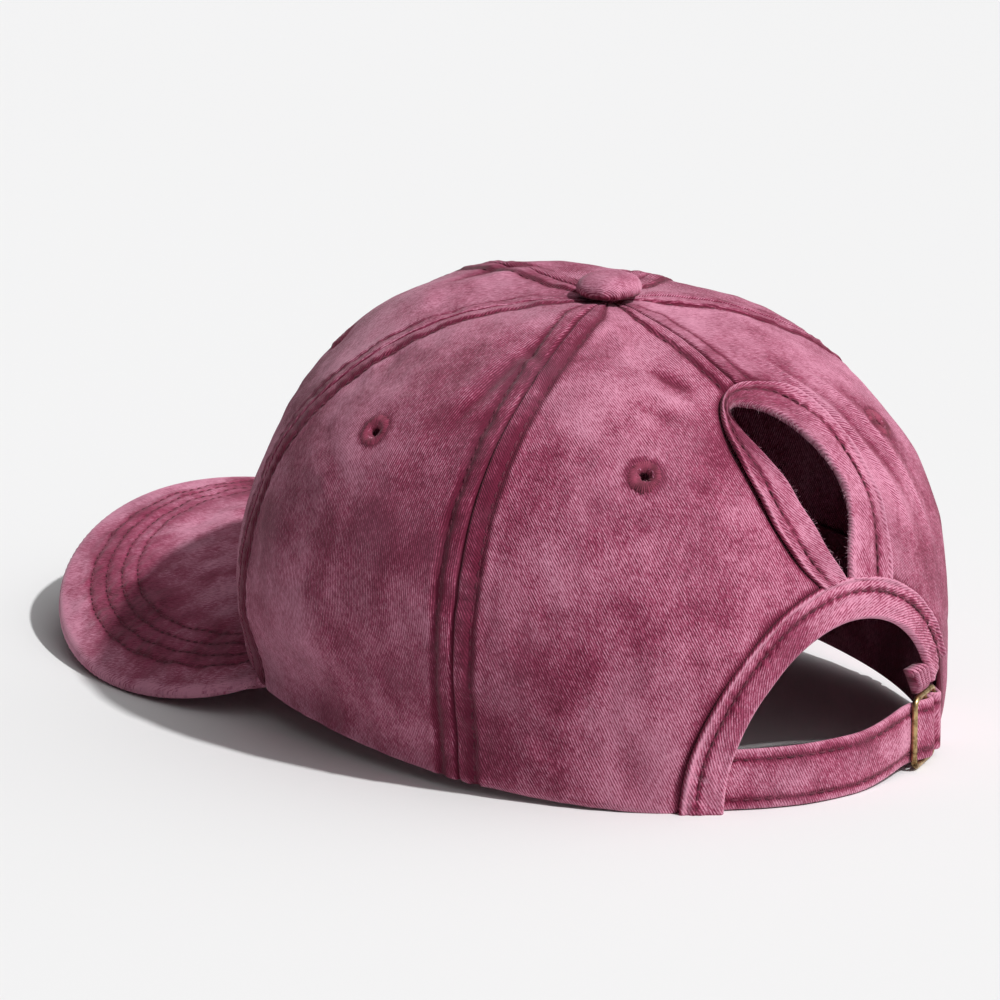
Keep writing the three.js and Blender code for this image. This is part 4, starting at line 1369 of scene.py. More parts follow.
    def stitch_paths(self) -> Paths:
        """The rows of stitches beside every seam, with the cloth's way out."""
        form, op = self.form, self.openings
        above_slot = (op.arch_height + op.top_band + op.slot_length + 2.4) / form.back_length
        back_seam = PanelKind.BACK_LEFT.value[1]
        paths = []
        for number in range(6):
            low = above_slot if number == back_seam else 0.012
            share = np.linspace(low, 0.955, 150)
            seam = number * PANEL_ANGLE
            radius = form.looked_up(np.full(len(share), seam), share)[:, 3]
            squeeze = self.squeeze(radius * PANEL_ANGLE)
            for way in (-1, 1):
                angle = seam + way * self.seam.row * squeeze / radius
                height = self.height(angle, share) + 0.12
                paths.append((form.at(angle, share, height), form.normal(angle, share)))
        return paths


@dataclass
class Peak:
    """The stiff peak, covered in cloth and sewn through in rows that follow its outline."""

    form: CapForm
    shift: Array
    thickness: float = 2.8
    rows: int = 4
    first_row: float = 9.0
    row_step: float = 4.3
    row_depth: float = 0.3
    row_dye_and_shade: float = 0.34
    edge_radius: float = 1.4

    def outline(self, count: int) -> Array:
        """Plan points of the peak's outline."""
        return self.form.peak_edge(np.linspace(-QUARTER, QUARTER, count))

    def row_lines(self) -> list[Array]:
        """Plan lines of the rows of stitches, from the right end of each to its left."""
        edge = stepped(self.outline(900), 0.5)
        ways = unit(np.gradient(edge, axis=0))
        inward = np.stack([-ways[:, 1], ways[:, 0]], -1)
        lines = []
        for row in range(self.rows):
            reach = self.first_row + row * self.row_step
            line = edge + reach * inward
            clear = away_from(line, edge) > reach - 0.35
            angle = np.arctan2(line[:, 0], -line[:, 1])
            beyond = np.linalg.norm(line, axis=1) > np.linalg.norm(self.form.rim_plan(angle), axis=1) + 0.5
            lines.append(line[clear & beyond])
        return lines

    def relief(self, plan: Array, edge_away: Array) -> tuple[Array, Array]:
        """Height over the plain sheet, and the darker marks: kept dye and painted shade in the sewn rows, and
        a band over them.
        """
        fine = Wobble(61, 4.2).at(plan[..., 0], plan[..., 1])
        broad = Wobble(62, 16.0).at(plan[..., 0], plan[..., 1])
        inside = smooth(edge_away, 1.5, 6.0)
        height = 0.25 * broad * inside + 0.05 * fine
        crease = np.zeros(edge_away.shape)
        for row in range(self.rows):
            place = self.first_row + row * self.row_step
            height = height - self.row_depth * hump(edge_away, place, 0.7) * (0.85 + 0.35 * fine)
            height = height + 0.16 * fine * hump(edge_away, place, 2.0)
            # Kept dye and painted shade in each sunken row.
            crease = crease + self.row_dye_and_shade * hump(edge_away, place, 0.6) * (0.8 + 0.4 * fine)
        return height, crease + 0.24 * smooth(edge_away, 6, 10) * (1 - smooth(edge_away, 24, 32))

    def build(self, cloth: Finish) -> None:
        """Builds and dresses the peak."""
        turns = np.linspace(-QUARTER, QUARTER, 330)
        near = np.array([0, 0.002, 0.006, 0.012, 0.02])
        reach = np.concatenate([near, np.linspace(0.03, 1, 100)])[:, None, None]
        edge = self.form.peak_edge(turns)
        angle = turns / QUARTER * self.form.peak_corner
        root = self.form.rim_plan(angle, -0.6)
        plan = edge[None] * (1 - reach) + root[None] * reach
        edge_away = away_from(plan, stepped(self.outline(700), 0.7))
        edge_away = np.where(reach[..., 0] < 0.001, 0, edge_away)
        level = self.form.peak_underside(plan)
        slope = np.hypot(plan[..., 0] / self.form.peak_radius, 1)
        height, crease = self.relief(plan, edge_away)
        half = self.thickness * slope / 2
        round_edge = rounding(edge_away, self.edge_radius)
        top = level + half + half * round_edge + height * smooth(edge_away, 0.2, 2.5)
        low = level + half - half * round_edge + 0.3 * np.minimum(height, 0) * smooth(edge_away, 0.2, 2.5)
        wear = 0.75 * hump(edge_away, 0, 1.6) + 0.3 * hump(edge_away, 3.5, 3.5)
        faces = [np.concatenate([plan, level[..., None]], -1) for level in (top, low)]
        spread = self.thickness / self.form.front_reach
        body = sheet_body(faces[0], faces[1], plan, wear, crease, spread=spread)
        dressed(body.build("cloth_peak", self.shift), cloth, Slot.PEAK, "peak")

    def stitch_paths(self) -> Paths:
        """The rows of stitches on both faces of the peak."""
        paths = []
        edge = stepped(self.outline(700), 0.7)
        for line in self.row_lines():
            height, _ = self.relief(line, away_from(line, edge))
            level = self.form.peak_underside(line)
            side_fall = line[:, 0] / self.form.peak_radius
            front_fall = np.full(len(line), -math.tan(self.form.peak_tilt))
            slope = np.stack([side_fall, front_fall, np.ones(len(line))], -1)
            top = level + self.thickness * np.hypot(side_fall, 1) + height + 0.1
            paths.append((np.column_stack([line, top]), unit(slope)))
            paths.append((np.column_stack([line, level - 0.1 + 0.3 * np.minimum(height, 0)]), -unit(slope)))
        return paths


@dataclass
class Facings:
    """The faced edges of the arch and the slot: a raised, rolled lip, a flat band and a soft edge."""

    form: CapForm
    openings: Openings
    shift: Array
    lip: float = 0.95
    depth: float = 1.6
    lip_reach: float = 0.7
    row: float = 0.36
    slot_steps: int = 20
    arch_seed: int = 71
    slot_seed: int = 81
    across: Array = field(default_factory=lambda: np.concatenate([
        np.linspace(0, 0.26, 16), np.linspace(0.29, 0.9, 18), np.linspace(0.915, 1, 7),
    ]))

    def profile(self, across: Array, width: Array, along: Array, seed: int) -> Array:
        """Height of the band's face over the crown's surface, from its lip to its opening."""
        fine = Wobble(seed, 3.6).at(along + 2 * across)
        broad = Wobble(seed + 1, 14.0).at(along + 6 * across, 30 * across)
        place = across * width
        roll = self.lip * hump(place, 0.8, 0.75) * (1 + 0.06 * fine + 0.1 * broad)
        band = 0.5 * smooth(place, 1.2, 2.8) + 0.2 * broad
        groove = -0.4 * hump(across, self.row, 0.055)
        crinkle = 0.16 * fine * hump(across, self.row, 0.2)
        edge_roll = 0.22 * hump(place, width - 0.9, 0.7)
        return 0.25 + roll + band + groove + crinkle + edge_roll

    def band(
        self, name: str, node: str, lips: Array, edges: Array, cloth: Finish, seed: int,
        clip_up: Callable[[Array], Array] | None = None,
    ) -> None:
        """Builds one faced edge.

        Args:
            name: the piece's name.
            node: the CAD node that it replaces.
            lips: side and up along its lip.
            edges: the same along its opening, point for point.
            cloth: its finish.
            seed: of its crinkles.
            clip_up: gives the least "up" at a side, where its ends lie on the arch's lip, or None.
        """
        width = np.linalg.norm(edges - lips, axis=1)
        outward = unit(lips - edges)
        start = lips + outward * self.lip_reach
        full = width + self.lip_reach
        t = self.across[None, :, None]
        plan = start[:, None] * (1 - t) + edges[:, None] * t
        if clip_up is not None:
            plan[..., 1] = np.maximum(plan[..., 1], clip_up(plan[..., 0]))
        plan[..., 1] = np.maximum(plan[..., 1], 0)
        steps = np.linalg.norm(np.diff(lips * 0.5 + edges * 0.5, axis=0), axis=1)
        along = np.concatenate([[0], np.cumsum(steps)])[:, None] + 0 * t[..., 0]
        across = np.repeat(self.across[None, :], len(lips), 0)
        top = self.profile(across, full[:, None], along, seed)
        place = across * full[:, None]
        sunk = -self.depth + 0.75 * hump(place, self.lip_reach, 0.5)
        under = np.where(place < self.lip_reach + 0.3, 0.15, sunk)
        round_edge = np.minimum(rounding(place, 0.75), rounding(full[:, None] - place, 0.9))
        centre, half = (top + under) / 2, (top - under) / 2
        outer = self.form.back_at(plan[..., 0], plan[..., 1], centre + half * round_edge)
        inner = self.form.back_at(plan[..., 0], plan[..., 1], centre - half * round_edge)
        fine = Wobble(seed, 3.6).at(along + 2 * across)
        wear = 0.75 * hump(place, 0.8, 0.5) + 0.6 * hump(full[:, None] - place, 0, 0.7) + 0.05
        # Kept dye and painted shade in the row's groove, and painted shadow along the lip's outer foot.
        crease = 0.75 * hump(across, self.row, 0.075) * (0.75 + 0.4 * fine) + 0.8 * hump(place, 0, 0.45)
        uv = np.stack([along * 0.8 + place * 0.6, place * 0.8 - along * 0.6], -1)
        body = sheet_body(outer, inner, uv, np.clip(wear, 0, 1), np.clip(crease, 0, 1))
        dressed(body.build(name, self.shift), cloth, Slot.FACING, node)

    def arch_lines(self) -> tuple[Array, Array]:
        """Side and up along the arch's lip and along its opening."""
        op = self.openings
        last = math.pi - math.asin((op.right_foot / op.arch_height) ** (op.power / 2))
        turns = stepped(np.column_stack([np.linspace(0, last, 900), np.zeros(900)]), last / 240)[:, 0]
        return op.arch(turns, 0), op.arch_edge(turns)

    def build(self, cloth: Finish) -> None:
        """Builds and dresses both faced edges."""
        lips, edges = self.arch_lines()
        self.band("cloth_arch_binding", "arch_binding", lips, edges, cloth, self.arch_seed)
        op = self.openings

        def foot(side: Array) -> Array:
            """The arch's lip above a side, where the slot's band goes under it."""
            reach = op.arch_half + op.foot_band
            turn = np.arccos(np.clip(np.abs(side) / reach, 0, 1))
            return op.arch(turn, 0)[..., 1] - 0.8

        slot = op.slot_lines(self.slot_steps)
        self.band("cloth_slot_binding", "slot_binding", *slot, cloth, self.slot_seed, foot)

    def stitch_paths(self) -> Paths:
        """The row of stitches along each band."""
        paths = []
        arch, slot = self.arch_lines(), self.openings.slot_lines(self.slot_steps)
        for (lips, edges), seed, trim in ((arch, self.arch_seed, 3), (slot, self.slot_seed, 6)):
            lips, edges = lips[trim:-trim], edges[trim:-trim]
            width = np.linalg.norm(edges - lips, axis=1) + self.lip_reach
            start = lips + unit(lips - edges) * self.lip_reach
            line = start * (1 - self.row) + edges * self.row
            zero = np.zeros(len(line))
            height = self.profile(zero + self.row, width, zero, seed) + 0.05
            share = line[:, 1] / self.form.back_length
            angle = self.form.angle_at_side(line[:, 0], share)
            paths.append((self.form.at(angle, share, height), self.form.normal(angle, share)))
        return paths

    def fray_paths(self) -> Paths:
        """The slot's worn edge, with the way in which its fibres stand: into the opening."""
        lips, edges = self.openings.slot_lines(self.slot_steps)
        paths = []
        for height, first in ((0.3, 0.42), (-0.3, 0.42), (0.0, 0.03)):
            kept = slice(int(first * len(edges)), len(edges) - 8)
            inward = unit(edges - lips)[kept]
            line = edges[kept] - 0.15 * inward
            points = self.form.back_at(*line.T, np.full(len(line), height))
            beyond = self.form.back_at(*(line + 0.5 * inward).T, np.full(len(line), height + 0.15))
            paths.append((points, unit(beyond - points)))
        return paths


@dataclass
class Button:
    """The covered button on top, with the shank and rivet that hold it."""

    form: CapForm
    shift: Array
    radius: float = 8.6
    height: float = 5.0
    seat: float = 0.95
    shank: float = 2.4
    rivet_radius: float = 5.0
    rivet_thickness: float = 1.0
    rim: float = 1.5
    turned_in: float = 0.6
    corners: int = 110

    def build(self, cloth: Finish) -> None:
        """Builds and dresses the button."""
        back = -self.form.cloth - 0.9
        dome = np.linspace(0, QUARTER, 26)
        waist, hub = self.seat + self.rim, self.radius - self.rim
        levels = waist + (self.height - self.rim) * np.sin(dome)
        top = np.stack([self.radius * np.cos(dome) ** 0.62, levels], -1)
        under = np.linspace(-QUARTER, 0, 9)[:-1]
        levels = waist + (self.rim + self.turned_in) * np.sin(under)
        rim = np.stack([hub + self.rim * np.cos(under), levels], -1)
        stem = np.array([
            [0.01, back - self.rivet_thickness], [self.rivet_radius, back - self.rivet_thickness],
            [self.rivet_radius, back], [self.shank, back], [self.shank, self.seat - 0.1],
        ])
        profile = np.concatenate([stem, rim, top])
        turns = np.linspace(0, FULL_TURN, self.corners, endpoint=False)
        radius, level = profile[:, :1], np.repeat(profile[:, 1:], self.corners, 1)
        x, y = radius * np.cos(turns), radius * np.sin(turns)
        outer = smooth(radius, 4, 8) * (level > self.seat - 0.05)
        pleats = 0.22 * Wobble(91, 3.4).at(self.radius * np.cos(turns), self.radius * np.sin(turns))
        swell = 0.16 * Wobble(92, 9.0).at(x, y, level)
        factor = 1 + (pleats[None] * hump(level, self.seat + 0.8, 1.4) + swell) * outer / self.radius
        lift = swell * (level > waist)
        points = np.stack([x * factor, y * factor + self.form.setback, self.form.height + level + lift], -1)
        drape = 1 + 0.55 * (self.height + self.seat - level) / self.height
        body = loft_body(points, False, np.stack([x * drape, y * drape], -1))
        low = np.concatenate([level.ravel(), [back, self.seat + self.height]])
        rim_wear = 0.35 * hump(low, self.seat + 2.6, 1.0)
        # Paler wear round the dome's shoulder, and painted shadow under the rim where the button sits on the
        # crown.
        body.marks = {"wear": rim_wear, "crease": 0.7 * hump(low, self.seat - 0.2, 0.7)}
        dressed(body.build("cloth_button", self.shift), cloth, Slot.BUTTON, "button")


@dataclass
class Eyelets:
    """The six sewn eyelets: a ring in the panel, laid over with close satin stitches."""

    form: CapForm
    panels: Panels
    shift: Array
    hole: float = 1.8
    barrel: float = 2.9
    ring: float = 3.25

    def build(self, thread: Finish) -> None:
        """Builds and dresses each eyelet."""
        tree = satin_growth()
        turns = np.linspace(0, FULL_TURN, 40, endpoint=False)
        around = np.stack([np.cos(turns), np.sin(turns), 0 * turns], -1)
        for number in range(6):
            angle = np.array((number + 0.5) * math.pi / 3)
            share = 1 - self.panels.eyelet_drop / self.form.length(angle)
            out = Vector(self.form.normal(angle, share))
            lift = float(self.panels.height(angle[None], np.array([share]))[0])
            spot = self.form.at(angle, share, np.array(lift)) + self.shift
            section = np.linspace(0, FULL_TURN, 12, endpoint=False)
            reach = (self.hole + self.barrel) / 2 + 0.55 + (self.ring - self.hole) / 2 * np.cos(section)
            level = -0.75 + 0.95 * np.sin(section)
            rings = np.stack([
                reach[:, None] * around[None, :, 0], reach[:, None] * around[None, :, 1],
                level[:, None] + 0 * reach[:, None] * around[None, :, 2],
            ], -1)
            base = loft_body(rings, True).build(f"thread_eyelet_{number + 1}", np.zeros(3))
            path = np.concatenate([around, around[:1]]) * self.ring
            paths = paths_object("eyelet_path", [(path, np.tile([0, 0, 1.0], (len(path), 1)))], np.zeros(3))
            grown = tree.grown(paths, thread, Seed=11 + number)
            self.merge(base, grown)
            turn = Vector((0, 0, 1)).rotation_difference(out).to_matrix().to_4x4()
            base.data.transform(Matrix.Translation(Vector(spot * MM)) @ turn)
            dressed(base, thread, Slot.THREAD, f"eyelet_{number + 1}")

    @staticmethod
    def merge(base: Piece, extra: Piece) -> None:
        """Adds one object's mesh to another's and removes the first object."""
        counts = (len(base.data.vertices), len(extra.data.vertices))
        points = np.empty(3 * counts[0]), np.empty(3 * counts[1])
        base.data.vertices.foreach_get("co", points[0])
        extra.data.vertices.foreach_get("co", points[1])
        faces = [list(face.vertices) for face in base.data.polygons]
        faces += [[v + counts[0] for v in face.vertices] for face in extra.data.polygons]
        mesh = bpy.data.meshes.new(base.name)
        mesh.from_pydata(np.concatenate(points).reshape(-1, 3).tolist(), [], faces)
        mesh.shade_smooth()
        base.data = mesh
        bpy.data.objects.remove(extra)


@dataclass
class Sweatband:
    """The cotton band inside the rim, whose lower edge shows below the hem."""

    form: CapForm
    shift: Array
    height: float = 30.0
    thickness: float = 1.2
    gap: float = 0.6
    lowest: float = 0.6
    end: float = math.radians(147)
    mean_reach: float = 90.0

    def build(self, cotton: Finish) -> None:
        """Builds and dresses the band."""
        angle = np.linspace(-self.end, self.end, 420)[None, :]
        up = np.concatenate([[0, 0.2, 0.6], np.linspace(1.2, self.height - 1.2, 22),
                             [self.height - 0.4, self.height]])[:, None] + self.lowest
        share = up / self.form.length(angle)
        along = angle * self.mean_reach + 0 * up
        level = up + 0 * angle
        ripple = 0.18 * Wobble(95, 7.0).at(along) * hump(level, self.height - 4, 4)
        edge = np.minimum(level - self.lowest, self.height + self.lowest - level)
        half = self.thickness / 2 * rounding(edge, 0.6)
        centre = -self.form.cloth - self.gap - self.thickness / 2 - np.abs(ripple)
        angle = angle + 0 * up
        outer, inner = self.form.at(angle, share, centre + half), self.form.at(angle, share, centre - half)
        wear = 0.4 * hump(edge, 0, 0.8)
        crease = 0.6 * hump(level, self.height - 4, 0.8)
        body = sheet_body(outer, inner, np.stack([along, level], -1), wear, crease)
        dressed(body.build("cloth_sweatband", self.shift), cotton, Slot.SWEATBAND, "sweatband")


@dataclass
class StrapEnd:
    """The strap, its wire slide, the tab that holds the slide and the tab's gathered cloth."""

    form: CapForm
    openings: Openings
    shift: Array
    width: float = 16.0
    thickness: float = 1.6
    tab_thickness: float = 1.2
    left_end: float = 49.0
    tail: float = 6.0
    free_depth: float = 1.4
    belt_level: float = 10.0
    floor_gap: float = 0.3
    slide_side: float = -32.0
    slide_depth: float = 1.0
    pitch: float = 7.5
    wire: float = 1.6
    corner: float = 2.2
    tab_sewn: float = 9.0
    band_gap: float = 0.6
    facing_depth: float = 1.6
    play: float = 0.3
    stitch_row: float = 2.7
    ridges: int = 4
    gather_width: float = 7.4
    gather_height: float = 8.0

    def __post_init__(self) -> None:
        """Works out the slide's own frame and the bends round its bars."""
        self.low = self.floor_gap + self.wire + self.play
        self.top = self.low + self.width + self.play + self.wire
        self.centre = self.belt(self.slide_side, self.slide_depth)
        self.right = unit(self.belt(self.slide_side - 1, self.slide_depth) - self.centre)
        self.out = np.array([self.right[1], -self.right[0]])
        clear = self.wire / 2 + self.play
        self.strap_bend = clear + self.thickness / 2
        self.tab_bend = clear + self.tab_thickness / 2
        self.tail_bend = clear + self.tab_thickness + self.play + self.thickness / 2
        self.tab_start = -(self.openings.arch_half + self.openings.foot_band) + self.tab_thickness
        self.tab_depth = self.form.cloth + self.band_gap + self.tab_thickness / 2
        self.tab_inner = self.tab_depth + self.tab_thickness + self.play
        self.tail_depth = self.tab_inner + self.tab_thickness / 2 + 0.45 + self.thickness / 2
        self.sewn_depth = self.facing_depth + self.band_gap + self.thickness / 2

    def belt(self, side: float, depth: float) -> Array:
        """A plan point along the belt line, at a depth inside the crown's surface."""
        share = np.array(self.belt_level / self.form.back_length)
        angle = self.form.angle_at_side(np.array(side), share)
        inward = unit(self.form.normal(angle, share)[:2])
        return self.form.looked_up(angle, share)[:2] - depth * inward

    def around(self, bar: float, radius: float, start: float, end: float, steps: int) -> list[Array]:
        """Plan points of an arc round one of the slide's bars."""
        turns = np.linspace(start, end, steps + 1)
        return [
            self.centre + (bar + radius * math.cos(t)) * self.right + radius * math.sin(t) * self.out
            for t in turns
        ]

    def along_belt(self, depth: float, *sides: float) -> list[Array]:
        """Plan points at sides of the belt line, all at one depth."""
        return [self.belt(side, depth) for side in sides]

    def strap_line(self) -> Array:
        """The strap in plan, from its sewn end to its tail."""
        first = math.asin(2 * self.strap_bend / self.pitch)
        second = math.asin((self.strap_bend + self.tail_bend) / self.pitch)
        sewn = self.openings.arch_half - 3.2
        bar = self.slide_side + self.pitch
        points = self.along_belt(self.sewn_depth, self.left_end, (self.left_end + sewn) / 2, sewn)
        for t in np.linspace(0, 1, 25)[1:-1]:
            to_free, to_bar = min(t / 0.3, 1), max((t - 0.6) / 0.4, 0)
            depth = self.sewn_depth + (self.free_depth - self.sewn_depth) * to_free
            depth += (self.slide_depth + self.strap_bend - depth) * to_bar
            points.append(self.belt(sewn + (bar - sewn) * t, depth))
        last = math.pi + QUARTER
        points += self.around(-self.pitch, self.strap_bend, -QUARTER, -QUARTER + first, 4)
        points += self.around(0, self.strap_bend, QUARTER + first, QUARTER - second, 12)
        points += self.around(self.pitch, self.tail_bend, last - second, last, 6)
        points += self.along_belt(self.tail_depth, self.tab_start, self.tab_start - self.tail)
        return np.array(points)

    def ribbon(
        self, name: str, node: str, plan: Array, lows: Array, thickness: float, cloth: Finish, seed: int,
    ) -> Array:
        """Builds a sewn band that stands on edge along a plan line.

        Args:
            name: the piece's name.
            node: the CAD node that it replaces.
            plan: the plan line, already finely stepped.
            lows: the level of its lower edge at each point.
            thickness: of the band, in millimetres.
            cloth: its finish.
            seed: of its puckers.

        Returns:
            Its outward ways in plan, for the rows of stitches.
        """
        ways = unit(np.gradient(plan, axis=0))
        outward = np.stack([ways[:, 1], -ways[:, 0]], -1)
        length = np.concatenate([[0], np.cumsum(np.linalg.norm(np.diff(plan, axis=0), axis=1))])
        hem = np.array([0, 0.1, 0.35])
        inside = np.linspace(0.75, self.width - 0.75, 32)
        height = np.concatenate([hem, inside, self.width - hem[::-1]])[:, None]
        edge = np.minimum(height, self.width - height)
        end_edge = np.minimum(length, length[-1] - length)[None]
        fine = Wobble(seed, 3.8).at(length[None] + 0.4 * height)
        broad = Wobble(seed + 1, 13.0).at(length[None] + 0.5 * height, height)
        sag = Wobble(seed + 2, 30.0).at(length[None])
        relief = 0.4 * smooth(edge, 0.8, 4.5) + 0.2 * broad * smooth(edge, 0.5, 3)
        relief = relief - 0.34 * hump(edge, self.stitch_row, 0.55) * (0.8 + 0.3 * fine)
        relief = relief + 0.13 * fine * hump(edge, self.stitch_row, 1.7)
        full = np.minimum(rounding(edge, thickness / 2), rounding(end_edge, 0.6))
        middle = np.concatenate([
            np.broadcast_to(plan[None], (len(height), len(plan), 2)),
            (lows[None] + height + 0.25 * sag * smooth(height, 2, 8))[..., None],
        ], -1)
        outward3 = np.column_stack([outward, np.zeros(len(plan))])[None]
        outer = middle + outward3 * (thickness / 2 * full + relief * full * 0.8)[..., None]
        inner = middle - outward3 * (thickness / 2 * full)[..., None]
        wear = 0.75 * hump(edge, 0, 0.9) + 0.2 * smooth(edge, 4, 7) + 0 * fine
        # Kept dye and painted shade in the sunken stitch rows.
        crease = 0.75 * hump(edge, self.stitch_row, 0.7) * (0.8 + 0.3 * fine)
        uv = np.stack([length[None] + 0 * height, height + 0 * length[None]], -1)
        body = sheet_body(outer, inner, uv, np.clip(wear, 0, 1), np.clip(crease, 0, 1))
        dressed(body.build(name, self.shift), cloth, Slot.STRAP, node)
        return outward

    def gather(self, cloth: Finish) -> None:
        """Builds the gathered cloth above the slide: pale ridges like fingers, with painted shade between
        them.
        """
        t = np.linspace(0, 1, 30 * self.ridges + 1)[None, :]
        parts = [np.linspace(0, 0.12, 6), np.linspace(0.16, 0.84, 20), np.linspace(0.88, 1, 6)]
        rise = np.concatenate(parts)[:, None]
        level = self.top + self.play + rise * self.gather_height
        tall = np.clip(level / self.openings.arch_height, 0, 1)
        end = 0.2 - self.openings.arch_half * np.sqrt(1 - tall ** self.openings.power)
        side = end + self.gather_width * (1 - t) * (0.82 + 0.18 * rise)
        wave = np.abs(np.sin(math.pi * self.ridges * (t + 0.03 * np.sin(5 * rise)))) ** 0.7
        shut = np.minimum(rounding(rise * 9, 1.2), rounding((1 - rise) * 9, 1.2))
        share = np.full(side.shape, self.belt_level / self.form.back_length)
        angle = self.form.angle_at_side(side, share)
        spot = self.form.looked_up(angle, share)[..., :2]
        inward = -unit(self.form.normal(angle, share)[..., :2])
        bump = 1.7 * wave * shut - 0.4 - 1.3 * (1 - smooth(rise, 0, 0.4))
        outer = np.concatenate([spot - inward * bump[..., None], (level + 0 * t)[..., None]], -1)
        inner = np.concatenate([spot + inward * (2.4 + 0 * bump)[..., None], (level + 0 * t)[..., None]], -1)
        uv = np.stack([side * 1.6, level + 0 * t], -1)
        # Paler ridge tops, and painted shade in the hollows between the ridges.
        body = sheet_body(outer, inner, uv, 0.6 * hump(wave, 1, 0.5), hump(wave, 0, 0.35))
        dressed(body.build("cloth_tab_gather", self.shift), cloth, Slot.STRAP, "tab_gather")

    def slide(self, brass: Finish) -> None:
        """Builds the wire slide: a rounded frame with a middle bar."""
        reach, low, high = self.pitch, self.floor_gap + self.wire / 2, self.top - self.wire / 2
        bend = np.linspace(0, QUARTER, 7)
        corners = [(reach, high, 0), (-reach, high, 1), (-reach, low, 2), (reach, low, 3)]
        line = []
        for x, z, number in corners:
            cx, cz = x - math.copysign(self.corner, x), z - self.corner * (1 if z == high else -1)
            for turn in bend + number * QUARTER:
                line.append([cx + self.corner * math.cos(turn), cz + self.corner * math.sin(turn)])
        frame_line = stepped(np.array(line + line[:1]), 0.5)[:-1]
        bar_line = np.column_stack([np.zeros(30), np.linspace(low, high, 30)])
        bodies = []
        for flat, closed, thick in ((frame_line, True, self.wire), (bar_line, False, self.wire * 0.94)):
            plan = self.centre[None] + flat[:, :1] * self.right[None]
            bodies.append(tube_body(np.column_stack([plan, flat[:, 1]]), thick / 2, 14, closed))
        body = joined(bodies)
        dressed(body.build("brass_slide", self.shift), brass, Slot.BRASS, "buckle")

    def build(self, cloth: Finish, brass: Finish) -> Paths:
        """Builds and dresses the four pieces.

        Returns:
            The rows of stitches along the strap, with the cloth's way out.
        """
        plan = eased(stepped(self.strap_line(), 0.55), 4)
        t = smooth(-plan[:, 0], 0, -(self.slide_side + self.pitch))
        lows = self.floor_gap + (self.low - self.floor_gap) * t
        outward = self.ribbon("cloth_strap", "strap", plan, lows, self.thickness, cloth, 31)
        paths = []
        for level in (self.stitch_row, self.width - self.stitch_row):
            points = np.column_stack([plan + outward * (self.thickness / 2 + 0.06), lows + level])
            outs = np.column_stack([outward, np.zeros(len(plan))])
            paths.append((points[6:-26], outs[6:-26]))
        tab_end = self.tab_start - self.tab_sewn
        tab = self.along_belt(self.tab_depth, tab_end, self.tab_start)
        tab += self.around(self.pitch, self.tab_bend, QUARTER * 0.7, 3 * QUARTER, 14)
        tab += self.along_belt(self.tab_inner, self.tab_start, tab_end)
        tab_plan = eased(stepped(np.array(tab), 0.5), 3)
        tab_lows = np.full(len(tab_plan), self.low)
        self.ribbon("cloth_strap_tab", "strap_tab", tab_plan, tab_lows, self.tab_thickness, cloth, 41)
        self.gather(cloth)
        self.slide(brass)
        return paths


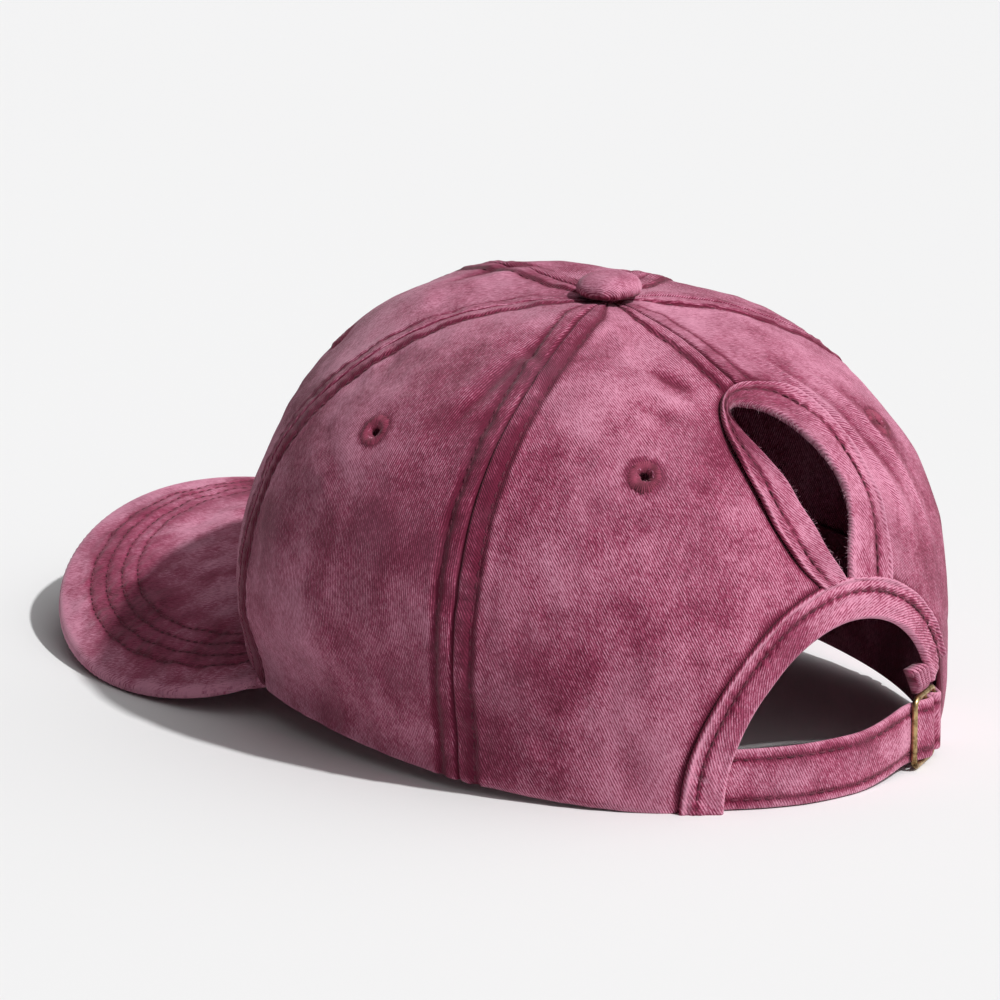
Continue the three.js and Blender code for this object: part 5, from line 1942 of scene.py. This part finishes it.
@dataclass
class Studio:
    """A pale floor, one key light, soft fill and the camera at the chosen viewing angle."""

    shift: Array
    azimuth: float = math.radians(139.47)
    elevation: float = math.radians(15.33)
    distance: float = 1878.0
    pixels_per_mm: float = 3.76
    aside: float = -18.19
    above: float = -4.78
    mid_level: float = 60.0
    image_width: float = 1000.0
    sensor: float = 36.0
    key_azimuth: float = math.radians(106)
    key_elevation: float = math.radians(49)
    key_strength: float = 2.85
    key_spread: float = math.radians(2.5)
    fill_dim: float = 0.05
    fill_bright: float = 1.02
    fill_from: tuple[float, float, float] = (-0.5, 0.45, 0.74)
    floor_reach: float = 9.0

    def build(self) -> None:
        """Makes the floor, the lights and the camera."""
        mesh = bpy.data.meshes.new("studio_floor")
        reach = self.floor_reach
        corners = [(-reach, -reach, 0), (reach, -reach, 0), (reach, reach, 0), (-reach, reach, 0)]
        mesh.from_pydata(corners, [], [(0, 1, 2, 3)])
        mesh.materials.append(PaleFloor().material())
        linked("studio_floor", mesh)
        self.world()
        self.key()
        self.camera()
        bpy.context.scene.view_settings.view_transform = "Standard"

    def world(self) -> None:
        """Soft fill: dim from all round and bright from one side."""
        world = bpy.data.worlds.new("studio")
        world.use_nodes = True
        tree = Tree(world.node_tree)
        around = tree.add("ShaderNodeTexCoord").outputs["Generated"]
        feeds = {0: around, 1: Vector(self.fill_from).normalized()}
        lobe = tree.value("ShaderNodeVectorMath", "Value", {"operation": "DOT_PRODUCT"}, feeds)
        lobe = lobe.math("MAXIMUM", 0.0)
        strength = lobe * lobe * self.fill_bright + self.fill_dim
        feeds = {"Color": (1.0, 1.0, 1.0, 1.0), "Strength": strength}
        light = tree.add("ShaderNodeBackground", None, feeds)
        tree.add("ShaderNodeOutputWorld", None, {"Surface": light.outputs[0]})
        bpy.context.scene.world = world

    def key(self) -> None:
        """The key light from behind the viewer's right shoulder."""
        light = bpy.data.lights.new("key", "SUN")
        light.energy, light.angle = self.key_strength, self.key_spread
        lamp = linked("key", light)
        a, e = self.key_azimuth, self.key_elevation
        way = Vector((math.cos(a) * math.cos(e), math.sin(a) * math.cos(e), math.sin(e)))
        lamp.rotation_mode = "QUATERNION"
        lamp.rotation_quaternion = way.to_track_quat("Z", "Y")
        lamp.location = way * 3

    def camera(self) -> None:
        """The camera, which looks a little beside the cap's middle as the photograph does."""
        a, e = self.azimuth, self.elevation
        back = Vector((math.sin(a) * math.cos(e), -math.cos(a) * math.cos(e), math.sin(e)))
        right = Vector((math.cos(a), math.sin(a), 0))
        up = back.cross(right)
        target = Vector(self.shift) + Vector((0, 0, self.mid_level)) + self.aside * right + self.above * up
        data = bpy.data.cameras.new("camera")
        data.sensor_width = self.sensor
        data.lens = self.pixels_per_mm * self.distance / self.image_width * self.sensor
        data.clip_start, data.clip_end = 0.05, 50
        camera = linked("camera", data)
        camera.location = (target + self.distance * back) * MM
        camera.rotation_mode = "QUATERNION"
        camera.rotation_quaternion = Matrix((right, up, back)).transposed().to_quaternion()
        bpy.context.scene.camera = camera


def main() -> None:
    """Builds and dresses the cap over its frame."""
    logging.basicConfig(level=logging.INFO, format="%(message)s")
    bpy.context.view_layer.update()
    form = CapForm()
    shift = world_shift(form)
    Studio(shift).build()

    twill = WashedTwill("washed_twill").material()
    facing = WashedTwill("edge_facing", fade=0.56, weave=0.55).material()
    strap_cloth = WashedTwill("strap_cloth", fade=0.5, weave=0.45).material()
    peak_cloth = WashedTwill("peak_cloth", fade=0.5, weave=0.2, heather=0.6, relief=0.12).material()
    button_cloth = WashedTwill("button_cloth", fade=0.75, weave=0.6).material()
    cotton = WashedTwill("sweatband_cotton", fade=0.3, lean=0.0, pitch=0.5).material()
    seam_thread = SpunThread("seam_thread", (0.06, 0.003, 0.014), (0.19, 0.02, 0.055)).material()
    eyelet_thread = SpunThread("eyelet_thread", (0.10, 0.004, 0.02), (0.36, 0.05, 0.11)).material()
    fibre = SpunThread("loose_fibre", (0.36, 0.13, 0.19), (0.68, 0.45, 0.53)).material()
    brass = AntiqueBrass("antique_brass").material()

    openings = Openings(form)
    panels = Panels(form, openings, shift)
    panels.build(twill)
    peak = Peak(form, shift)
    peak.build(peak_cloth)
    facings = Facings(form, openings, shift)
    facings.build(facing)
    Button(form, shift).build(button_cloth)
    Sweatband(form, shift).build(cotton)
    Eyelets(form, panels, shift).build(eyelet_thread)
    strap_rows = StrapEnd(form, openings, shift).build(strap_cloth, brass)

    stitches = stitch_growth()
    rows = {
        "stitches_seams": (panels.stitch_paths(), Slot.TWILL),
        "stitches_peak": (peak.stitch_paths(), Slot.PEAK),
        "stitches_facings": (facings.stitch_paths(), Slot.FACING),
        "stitches_strap": (strap_rows, Slot.STRAP),
    }
    for name, (paths, slot) in rows.items():
        piece = stitches.grown(paths_object(name, paths, shift), seam_thread)
        dressed(piece, seam_thread, slot)
    fray = fray_growth().grown(paths_object("fray_slot", facings.fray_paths(), shift), fibre)
    dressed(fray, fibre, Slot.FACING)


if __name__ == "__main__":
    main()
